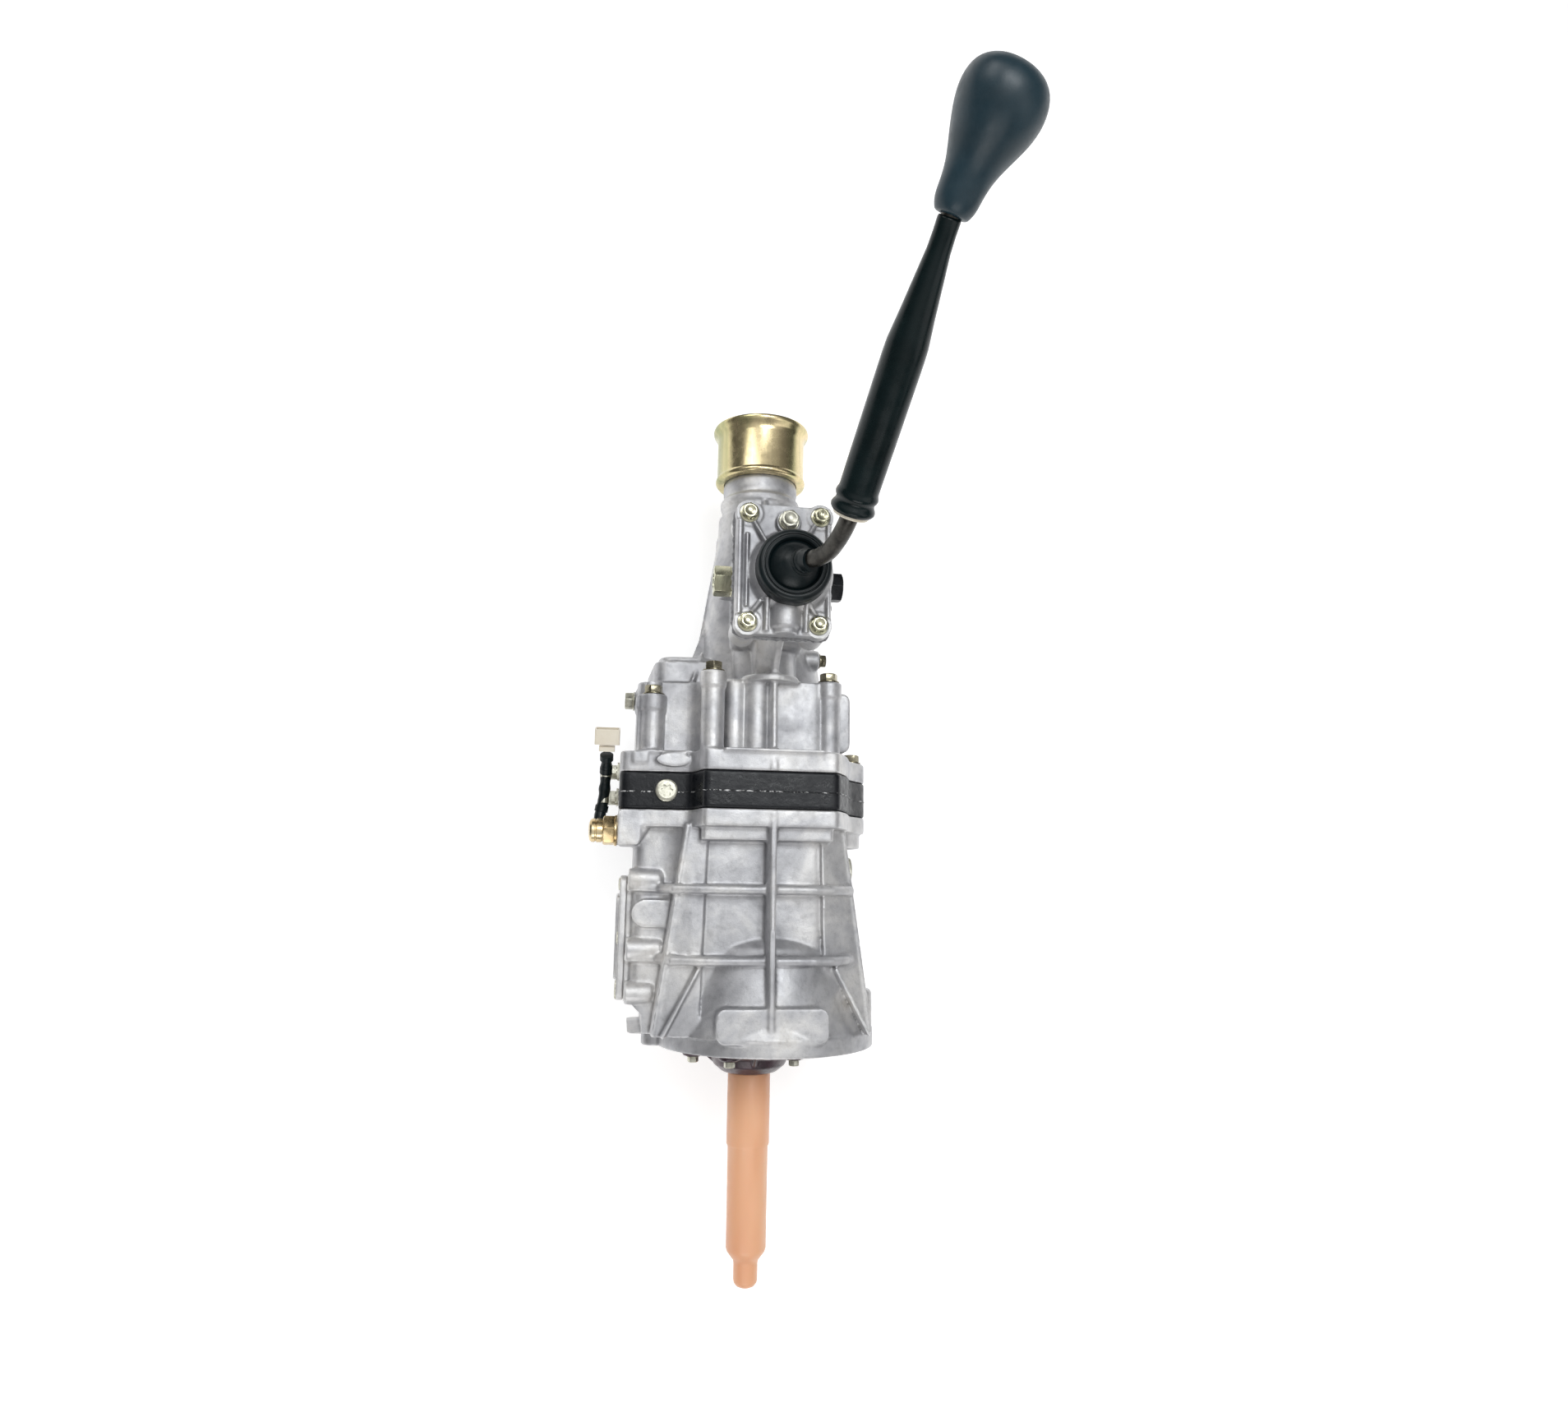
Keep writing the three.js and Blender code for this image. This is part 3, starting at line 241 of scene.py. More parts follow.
def cast(obj, voxel=None, rounds=5, keep=0.5):
    """Joins overlapping solids into one skin whose corners are rounded like a casting's."""
    remesh = obj.modifiers.new("skin", "REMESH")
    remesh.mode = "VOXEL"
    remesh.voxel_size = (voxel or VOXEL) * MM
    relax = obj.modifiers.new("relax", "SMOOTH")
    relax.factor, relax.iterations = 0.5, rounds
    thin = obj.modifiers.new("thin", "DECIMATE")
    thin.ratio = keep
    return bake(obj)


def carve(obj, *solids, operation="DIFFERENCE"):
    """Cuts crisp machined shapes out of a piece."""
    for i, solid in enumerate(solids):
        cutter = put("cutter", solid)
        cut = obj.modifiers.new("cut", "BOOLEAN")
        cut.operation, cut.object, cut.solver = operation, cutter, "MANIFOLD"
        bake(obj)
        bpy.data.objects.remove(cutter)
    return obj


def bevel(obj, width, segments=3, angle=35):
    edge = obj.modifiers.new("bevel", "BEVEL")
    edge.width, edge.segments, edge.limit_method = width * MM, segments, "ANGLE"
    edge.angle_limit = math.radians(angle)
    edge.harden_normals = False
    return bake(obj)


def finish_piece(obj, body, material, replaces=(), sharp=40):
    mesh = obj.data
    mesh.polygons.foreach_set("use_smooth", [True] * len(mesh.polygons))
    mesh.set_sharp_from_angle(angle=math.radians(sharp))
    mesh.materials.clear()
    mesh.materials.append(material)
    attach(obj, body)
    if replaces:
        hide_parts(*([replaces] if isinstance(replaces, str) else replaces))
    return obj


# ------------------------------------------------------------------ materials
class Paint:
    """A small builder for one node material, with everything in object coordinates."""

    def __init__(self, name, **sockets):
        self.material = bpy.data.materials.new(name)
        self.material.use_nodes = True
        self.nodes, self.links = self.material.node_tree.nodes, self.material.node_tree.links
        self.shader = self.nodes["Principled BSDF"]
        for key, value in sockets.items():
            self.shader.inputs[key.replace("_", " ")].default_value = value
        self.place = self.nodes.new("ShaderNodeTexCoord").outputs["Object"]
        self.height = None

    def stretched(self, scale):
        mapping = self.nodes.new("ShaderNodeMapping")
        mapping.inputs["Scale"].default_value = scale
        self.links.new(self.place, mapping.inputs["Vector"])
        return mapping.outputs["Vector"]

    def noise(self, scale, detail=3.0, rough=0.6, stretch=None, distortion=0.0):
        node = self.nodes.new("ShaderNodeTexNoise")
        node.inputs["Scale"].default_value = scale
        node.inputs["Detail"].default_value = detail
        node.inputs["Roughness"].default_value = rough
        node.inputs["Distortion"].default_value = distortion
        self.links.new(self.stretched(stretch) if stretch else self.place, node.inputs["Vector"])
        return node.outputs["Fac"]

    def ramp(self, source, *stops):
        """Colours or greys by value: (position, colour)."""
        node = self.nodes.new("ShaderNodeValToRGB")
        elements = node.color_ramp.elements
        while len(elements) < len(stops):
            elements.new(0.5)
        for element, (position, colour) in zip(elements, stops):
            element.position = position
            element.color = (*colour, 1) if isinstance(colour, tuple) else (colour, colour, colour, 1)
        self.links.new(source, node.inputs["Fac"])
        return node.outputs["Color"]

    def mix(self, a, b, factor, blend="MIX"):
        node = self.nodes.new("ShaderNodeMix")
        node.data_type, node.blend_type = "RGBA", blend
        for socket, value in ((node.inputs[6], a), (node.inputs[7], b), (node.inputs[0], factor)):
            if isinstance(value, bpy.types.NodeSocket):
                self.links.new(value, socket)
            else:
                socket.default_value = (*value, 1) if isinstance(value, tuple) else value
        return node.outputs[2]

    def edges(self):
        """High on outer edges, low in inner corners, 0.5 between."""
        return self.nodes.new("ShaderNodeNewGeometry").outputs["Pointiness"]

    def set(self, socket, source):
        self.links.new(source, self.shader.inputs[socket])
        return self

    def bump(self, source, strength, distance):
        node = self.nodes.new("ShaderNodeBump")
        node.inputs["Strength"].default_value = strength
        node.inputs["Distance"].default_value = distance
        self.links.new(source, node.inputs["Height"])
        if self.height is not None:
            self.links.new(self.height, node.inputs["Normal"])
        self.height = node.outputs["Normal"]
        self.links.new(self.height, self.shader.inputs["Normal"])
        return self


def cast_aluminium(name="cast_aluminium", dark=1.0):
    p = Paint(name, Metallic=0.85)
    broad = p.noise(13, 4, 0.65, distortion=0.6)
    flecks = p.noise(160, 6, 0.75)
    tint = p.ramp(
        broad,
        (0.3, (0.38 * dark, 0.38 * dark, 0.40 * dark)),
        (0.45, (0.55 * dark, 0.55 * dark, 0.565 * dark)),
        (0.6, (0.74 * dark, 0.73 * dark, 0.72 * dark)),
        (0.75, (0.60 * dark, 0.57 * dark, 0.53 * dark)),
    )
    grain = p.ramp(flecks, (0.3, 0.72), (0.5, 0.95), (0.7, 1.0))
    colour = p.mix(tint, grain, 0.8, "MULTIPLY")
    # painted shade: the colour is darkened in inner corners and creases, where shade falls
    colour = p.mix(colour, p.ramp(p.edges(), (0.40, 0.34), (0.485, 1.0)), 1.0, "MULTIPLY")
    colour = p.mix(colour, (0.9, 0.9, 0.9), p.ramp(p.edges(), (0.52, 0.0), (0.62, 1.0)))
    p.set("Base Color", colour)
    p.set("Roughness", p.ramp(p.noise(45, 4, 0.7), (0.3, 0.42), (0.7, 0.62)))
    p.bump(p.noise(900, 3, 0.7), 0.35, 0.0004)
    p.bump(p.noise(120, 4, 0.6), 0.25, 0.0009)
    return p.material


def black_paint():
    p = Paint("black_paint", Metallic=0.0, Specular_IOR_Level=0.3, Coat_Weight=0.05, Coat_Roughness=0.2)
    dust = p.noise(70, 5, 0.7)
    p.set(
        "Base Color",
        p.ramp(
            dust, (0.35, (0.004, 0.005, 0.007)), (0.62, (0.010, 0.011, 0.014)), (0.8, (0.035, 0.036, 0.04))
        )
    )
    p.set("Roughness", p.ramp(p.noise(140, 4, 0.6), (0.3, 0.22), (0.7, 0.5)))
    p.bump(p.noise(260, 4, 0.65), 0.5, 0.0007)
    return p.material


def brown_paint():
    p = Paint("brown_paint", Metallic=0.15, Coat_Weight=0.4, Coat_Roughness=0.25)
    p.set(
        "Base Color",
        p.ramp(
            p.noise(50, 4, 0.7), (0.3, (0.022, 0.010, 0.015)), (0.6, (0.055, 0.024, 0.036)),
            (0.8, (0.12, 0.07, 0.085))
        )
    )
    p.set("Roughness", p.ramp(p.noise(180, 3, 0.6), (0.3, 0.25), (0.7, 0.5)))
    p.bump(p.noise(400, 3, 0.7), 0.5, 0.0005)
    return p.material


def yellow_zinc(name, low, middle, high, last):
    """Plating whose tint runs in bands along the piece."""
    p = Paint(name, Metallic=1.0)
    bands = p.noise(34, 3, 0.55, stretch=(1, 0.06, 1))
    streaks = p.noise(120, 4, 0.7, stretch=(2, 0.12, 2))
    colour = p.ramp(bands, (0.32, low), (0.45, middle), (0.56, high), (0.7, last))
    p.set("Base Color", p.mix(colour, p.ramp(streaks, (0.3, 0.72), (0.6, 1.0)), 0.6, "MULTIPLY"))
    p.set("Roughness", p.ramp(p.noise(120, 4, 0.65), (0.3, 0.16), (0.7, 0.32)))
    p.bump(streaks, 0.06, 0.0003)
    return p.material


def pale_zinc():
    p = Paint("pale_zinc", Metallic=1.0)
    p.set(
        "Base Color",
        p.ramp(
            p.noise(220, 4, 0.7), (0.3, (0.42, 0.41, 0.34)), (0.6, (0.62, 0.61, 0.52)),
            (0.75, (0.7, 0.7, 0.64))
        )
    )
    p.set("Roughness", p.ramp(p.noise(260, 3, 0.6), (0.3, 0.28), (0.7, 0.5)))
    p.bump(p.noise(900, 3, 0.6), 0.2, 0.0002)
    return p.material


def brass():
    p = Paint("brass", Metallic=1.0)
    p.set(
        "Base Color",
        p.ramp(
            p.noise(60, 4, 0.6), (0.3, (0.50, 0.36, 0.18)), (0.55, (0.74, 0.60, 0.36)),
            (0.75, (0.84, 0.76, 0.54))
        )
    )
    p.set("Roughness", p.ramp(p.noise(200, 3, 0.6), (0.3, 0.18), (0.7, 0.36)))
    p.bump(p.noise(500, 2, 0.6), 0.1, 0.0002)
    return p.material


def steel(name, low, high, rough=(0.2, 0.4), stretch=None):
    p = Paint(name, Metallic=1.0)
    p.set("Base Color", p.ramp(p.noise(80, 4, 0.65, stretch=stretch), (0.3, low), (0.7, high)))
    p.set("Roughness", p.ramp(p.noise(220, 3, 0.6), (0.3, rough[0]), (0.7, rough[1])))
    p.bump(p.noise(700, 2, 0.6, stretch=stretch), 0.1, 0.0002)
    return p.material


def orange_plastic():
    p = Paint("orange_plastic", Metallic=0.0, Subsurface_Weight=0.12, Coat_Weight=0.15, Coat_Roughness=0.3)
    p.shader.inputs["Subsurface Radius"].default_value = (0.004, 0.0015, 0.0008)
    clouds = p.noise(22, 3, 0.5, stretch=(1, 0.35, 1))
    p.set(
        "Base Color",
        p.ramp(clouds, (0.3, (0.84, 0.40, 0.22)), (0.6, (0.92, 0.50, 0.29)), (0.8, (0.96, 0.60, 0.38)))
    )
    p.set("Roughness", p.ramp(p.noise(150, 3, 0.6), (0.3, 0.34), (0.7, 0.5)))
    p.bump(p.noise(320, 3, 0.6, stretch=(1, 0.2, 1)), 0.1, 0.0003)
    return p.material


def plastic(name, low, high, rough=(0.35, 0.5), grain=600, depth=0.0002, coat=0.0, shine=0.5):
    p = Paint(name, Metallic=0.0, Coat_Weight=coat, Coat_Roughness=0.08, Specular_IOR_Level=shine)
    p.set("Base Color", p.ramp(p.noise(45, 4, 0.6), (0.3, low), (0.7, high)))
    p.set("Roughness", p.ramp(p.noise(140, 3, 0.6), (0.3, rough[0]), (0.7, rough[1])))
    p.bump(p.noise(grain, 3, 0.6), 0.25, depth)
    return p.material


def sealant_material():
    p = Paint("sealant", Metallic=0.0)
    p.set("Base Color", p.ramp(p.noise(200, 4, 0.7), (0.3, (0.10, 0.10, 0.105)), (0.7, (0.32, 0.32, 0.33))))
    p.set("Roughness", p.ramp(p.noise(90, 2, 0.5), (0.3, 0.35), (0.7, 0.6)))
    p.bump(p.noise(350, 3, 0.6), 0.6, 0.0006)
    return p.material


def chipped_paint():
    """The plate's parting line: black, with bright specks where the paint has come off."""
    p = Paint("chipped_paint", Metallic=0.3, Roughness=0.4)
    p.set(
        "Base Color",
        p.ramp(
            p.noise(240, 4, 0.75), (0.5, (0.008, 0.009, 0.011)), (0.56, (0.5, 0.5, 0.5)),
            (0.7, (0.75, 0.75, 0.75))
        )
    )
    return p.material


M = {
    "cast": cast_aluminium(),
    "cast_dark": cast_aluminium("cast_aluminium_tower", 0.9),
    "black_paint": black_paint(),
    "brown": brown_paint(),
    "zinc": yellow_zinc(
        "yellow_zinc", (0.36, 0.37, 0.20), (0.62, 0.56, 0.30), (0.82, 0.68, 0.40), (0.60, 0.50, 0.30)
    ),
    "zinc_pale": yellow_zinc(
        "yellow_zinc_pale", (0.44, 0.45, 0.32), (0.60, 0.58, 0.42), (0.70, 0.68, 0.50), (0.5, 0.5, 0.38)
    ),
    "zinc_dull": yellow_zinc(
        "yellow_zinc_dull", (0.24, 0.22, 0.16), (0.36, 0.33, 0.24), (0.46, 0.42, 0.30), (0.3, 0.28, 0.2)
    ),
    "pale_zinc": pale_zinc(),
    "brass": brass(),
    "gear": steel("gear_steel", (0.30, 0.31, 0.33), (0.52, 0.53, 0.55)),
    "bright": steel("bright_steel", (0.5, 0.51, 0.52), (0.75, 0.76, 0.77), (0.1, 0.25)),
    "bronze": steel("bronze", (0.42, 0.30, 0.14), (0.66, 0.52, 0.28), (0.25, 0.45)),
    "lever": steel("lever_steel", (0.035, 0.034, 0.032), (0.10, 0.095, 0.085), (0.25, 0.45), (1, 0.3, 1)),
    "orange": orange_plastic(),
    "rubber": plastic(
        "black_rubber", (0.001, 0.004, 0.005), (0.003, 0.009, 0.011), (0.28, 0.45), 500, 0.0002, 0.0, 0.35
    ),
    "gloss": plastic(
        "black_gloss", (0.001, 0.005, 0.0055), (0.003, 0.010, 0.011), (0.2, 0.32), 90, 0.0002, 0.0, 0.3
    ),
    "knob": plastic("black_satin", (0.006, 0.022, 0.032), (0.012, 0.034, 0.048), (0.34, 0.46), 1100, 0.00015),
    "cream": plastic("cream_plastic", (0.74, 0.66, 0.52), (0.86, 0.80, 0.68), (0.3, 0.45)),
    "sealant": sealant_material(),
    "chipped": chipped_paint(),
}


# ------------------------------------------------------------------ shared outlines
JOINT_FACE = [
    (-52, 95, 5), (-60, 66, 6), (-118, 62, 9), (-118, -50, 12), (-80, -54, 8), (-72, -98, 18),
    (-48, -132, 10),
    (52, -132, 10), (84, -100, 18), (84, -36, 8), (97, -15, 9), (97, 15, 9), (78, 38, 6), (68, 72, 8),
    (56, 95, 5),
]
CASE_BODY = [
    (-48, 72, 8), (-74, 52, 8), (-104, 50, 10), (-104, -46, 10), (-70, -50, 8), (-66, -88, 18),
    (-44, -124, 18),
    (44, -124, 18), (66, -82, 18), (72, -20, 18), (70, 40, 12), (46, 72, 8),
]
TAIL_BODY = [
    (-44, 74, 8), (-60, 50, 6), (-106, 46, 10), (-106, -44, 10), (-68, -48, 8), (-65, -88, 18),
    (-48, -132, 12),
    (52, -132, 12), (76, -92, 16), (76, -20, 14), (67, 40, 12), (46, 74, 8),
]
WALL = 5.5
RAIL_X, RAIL_Z = -80, (28, 2, -24)
CASE_BOLTS = [(-93, 54, 80), (-46, 84, 96), (53, 66, 94), (87, 0, 34)]  # x, z, seat
TOWER_BOLTS = [(-27, 209), (29, 209), (-27, 122), (28, 122)]
RETAINER_BOLTS = [(-49, 18), (-22, 47), (31, 42), (50, -12), (26, -104), (-26, -104)]
PX, PY = 6, 163  # the gear lever's ball, seen from above


def grown(corners, distance):
    """The corners moved outwards, or inwards for a negative distance."""
    made = []
    for i, (u, v, radius) in enumerate(corners):
        here = Vector((u, v))
        before = (Vector(corners[i - 1][:2]) - here).normalized()
        after = (Vector(corners[(i + 1) % len(corners)][:2]) - here).normalized()
        turn = -before.x * after.y + before.y * after.x  # the outlines run anticlockwise in X, Z
        half = math.acos(max(-1, min(1, before.dot(after)))) / 2
        side = -1 if turn > 0 else 1
        step = (before + after).normalized() * (side * distance / math.sin(half))
        made.append((u + step.x, v + step.y, max(1, radius + side * distance * 0.6)))
    return made


# ------------------------------------------------------------------ front case
def front_flange():
    points = [(-50, -132), (52, -132)]
    for k in range(81):
        angle = -0.66 + (math.pi + 1.32) * k / 80
        points.append((11 + 91 * math.cos(angle), 8 + 91 * math.sin(angle)))
    return points


def loft(start, end):
    """A block between two faces with matching corners."""
    n = len(start)
    faces = [tuple(range(n)), tuple(range(n, 2 * n))]
    return [*start, *end], faces + [(i, (i + 1) % n, n + (i + 1) % n, n + i) for i in range(n)]


def make_front_case():
    body = rounded(CASE_BODY)
    solids = [
        prism("Y", rounded(JOINT_FACE), -29, -15),
        prism("Y", body, -191, -26),
        lathe(
            "Y", (7, 0, 4),
            [
                (0, -106), (57, -106), (68.5, -116.5), (76, -123.5), (80.5, -134), (84.4, -150), (88.8, -170),
                (93, -191), (0, -191)
            ],
            128
        ),
        prism("Y", front_flange(), -204, -190),
        bar("Y", (-81, 0, 14), 11, -204, -189),
        prism("Y", rounded([(-52, 60, 2), (-52, 87, 4), (54, 87, 4), (54, 60, 2)]), -39.5, -30),
        beam((4, -16, 95.6), (4, -194, 98), 6.4, 40),
        # crown window pad, with the bell's cone rising out of it
        prism("Z", box_outline(-38, -194, 49, -167, 9), 60, 96),
        lathe("Y", (7, 0, 4), [(0, -176), (90, -176), (95.6, -191), (0, -191)], 128),
        # side cover pad and the bosses above it
        prism("X", box_outline(-168, -29, -67, 43, 10), -108.3, -94),
        prism("X", box_outline(-167, 10, -68, 43, 8), -105, -92),
    ]
    for y in (-78, -133):
        top = [
            (-84, y, 48), (-78, y, 62), (-72, y, 75), (-52, y, 81.5), (-40, y, 84), (40, y, 84), (54, y, 80),
            (68, y, 67), (73, y, 60), (74, y, 30)
        ]
        solids += [
            prism("Y", rounded(grown(CASE_BODY, 4.5)), y - 2.4, y + 2.4),
            prism(
                "Y",
                rounded([(-81, 40, 2), (-77, 56, 4), (-51, 81, 6), (51, 81, 6), (73, 50, 4), (74, 30, 2)]),
                y - 3, y + 3
            ),
            tube(top, 3.9, 20), tube([(-106, y, 49), (-74, y, 55)], 3.4, 20),
        ]
    for y, inner in ((-71, -80), (-126, -78), (-160, -84)):
        solids += [pin("X", (0, y, 47.4), 8.8, -107.5, inner, 4)]
    dpad = [(-74, -87), (-93, -87)] + [
        (-93 - 11 * math.sin(a), -98 + 11 * math.cos(a)) for a in [math.pi * k / 16 for k in range(1, 16)]
    ] + [(-93, -109), (-74, -109)]
    solids += [
        prism("Z", dpad, 40, 54.5),
        # the crown's shoulders fall away to a ridge on each side
        loft(
            [(-64, -26, 72), (-46, -26, 73), (-46, -26, 20), (-64, -26, 20)],
            [(-86, -191, 70), (-50, -191, 76), (-50, -191, 10), (-86, -191, 10)]
        ),
        loft(
            [(46, -26, 73), (68, -26, 60), (68, -26, 0), (46, -26, 0)],
            [(50, -191, 76), (92, -191, 55), (92, -191, 0), (50, -191, 0)]
        ),
        beam(
            (-62.5, -28, 73.4), (-84.5, -190, 71.6), 4.2, 40
        ), beam((67, -28, 61.6), (91, -190, 57), 4.2, 44),
        beam((-50, -137, 81), (-78, -191, 80), 3.6, 26), beam((58, -139, 78), (87, -191, 72), 3.6, 30),
        # bolt tubes behind the bell's flange
        pin("Y", (-79, 0, 40), 8.4, -192, -157, 5), pin("Y", (95, 0, 8), 9, -192, -160, 5),
        pin("Y", (-78, 0, -14), 8.4, -192, -160, 5), pin("Y", (88, 0, -42), 9, -192, -160, 5),
        # shoulder round the reversing-light switch, webbed to the flange, and the ear on the right
        block(-117.6, -44, 8, -100, -16, 63.6, 3), loft(
            [(-101, -16, 63.4), (-101, -43, 63.4), (-84, -16, 58)],
            [(-101, -16, 20), (-101, -43, 20), (-84, -16, 20)]
        ),
        prism(
            "Y",
            rounded([(66, -32, 4), (82, -34, 8), (93.5, -15, 9), (93.5, 13, 9), (76, 34, 6), (66, 34, 4)]),
            -42, -27
        ),
        bar("X", (0, -32, 40), 12, -119.3, -96),
        bar("X", (0, -61, 0), 14.5, 56, 79), bar("Z", (0, -100, 0), 15.5, -126, -110),
        # ribs low on the sides and underneath
        beam((73, -26, 6), (88, -190, 2), 4, 20, (1, 0, 0)), beam(
            (70, -26, -52), (78, -190, -56), 4, 16, (1, 0, 0)
        ),
        beam(
            (-70, -26, -72), (-78, -190, -74), 4, 16, (-1, 0, 0)
        ), beam((0, -26, -129), (0, -190, -130), 5, 16, (0, 0, -1)),
        beam(
            (-34, -26, -128), (-40, -190, -129), 4, 14, (0, 0, -1)
        ), beam((34, -26, -128), (40, -190, -129), 4, 14, (0, 0, -1)),
    ]
    obj = cast(put("front_case_skin", *solids))
    carve(
        obj,
        prism("Y", rounded(grown(CASE_BODY, -WALL), 3), -162, -10),
        prism("Y", rounded([(max(u, -88), v, r) for u, v, r in grown(CASE_BODY, -WALL)], 3), -184, -160),
        prism("Z", [(-140, -190), (-93, -190), (-93, -177), (-101, -169), (-140, -169)], -80, 110),
        bar("Y", (0, 0, 0), 36.4, -202, -183), bar("Y", (0, 0, 0), 30, -212, -201),
        bar("Y", (0, 0, COUNTER_Z), 22.4, -200, -183),
        bar("Y", (RAIL_X, 0, RAIL_Z[1]), 7.6, -188, -160),
        block(-140, -220, -150, 140, -203.9, 150), block(-140, -15.3, -150, 140, -5, 150),
    )
    return finish_piece(obj, "housing", M["cast"], "front_case")


# ------------------------------------------------------------------ intermediate plate
def make_plate():
    corner = rounded(JOINT_FACE)
    obj = cast(
        put("plate_skin", prism("Y", corner, -14.8, 14.8), bar("Z", (RAIL_X, 0, 0), 11, 40, 64.2)), rounds=3
    )
    carve(
        obj,
        bar("Y", (0, 0, 0), 40.4, -12.3, 20), bar("Y", (0, 0, 0), 34, -20, 0),
        bar("Y", (0, 0, COUNTER_Z), 26.4, -12.3, 20), bar("Y", (0, 0, COUNTER_Z), 20, -20, 0),
        *[bar("Y", (RAIL_X, 0, z), 7.4, -20, 20) for z in RAIL_Z],
        block(-140, -30, -150, 140, -14.7, 150), block(-140, 14.7, -150, 140, 30, 150),
    )
    finish_piece(obj, "housing", M["black_paint"], "intermediate_plate")
    # the mould's parting line, broken by the paint
    n = len(corner)
    line = []
    for i in range(n):
        a, b = Vector(corner[i]), Vector(corner[(i + 1) % n])
        steps = max(1, int((b - a).length / 2.2))
        for k in range(steps):
            p = a.lerp(b, k / steps)
            line.append((p.x, -1.2 + 0.3 * noise.noise((p.x * 0.3, p.y * 0.3, 2.0)), p.y))
    radii = [0.55 + 0.4 * noise.noise(Vector(p) * 0.45) for p in line]
    seam = put("plate_seam", tube(line, radii, 8))
    finish_piece(seam, "housing", M["chipped"])


# ------------------------------------------------------------------ extension housing
TAIL_OUTSIDE = [
    (0, 66), (58, 66), (58, 96), (54, 122), (50, 146), (42.5, 205), (38.2, 236), (37.6, 250), (37.6, 257),
    (35, 258.5), (34.6, 266), (36.4, 267.5), (36.4, 273), (33.4, 275), (33.4, 280),
    (34.0, 281), (34.0, 289), (33.2, 290), (33.2, 333), (31.5, 335), (0, 335),
]
TAIL_INSIDE = [
    (0, 67), (52.5, 67), (52.5, 96), (45.5, 141), (36.5, 205), (30.5, 250), (27, 268), (24, 296), (24, 322),
    (27.3, 322),
    (27.3, 336), (0, 336),
]
IDLER = (39.377, 0, -59.68)


def lens(cx, cy, rx, ry, steps=32):
    return [(cx + rx * math.cos(2 * math.pi * k / steps),
        cy + ry * math.sin(2 * math.pi * k / steps)) for k in range(steps)]


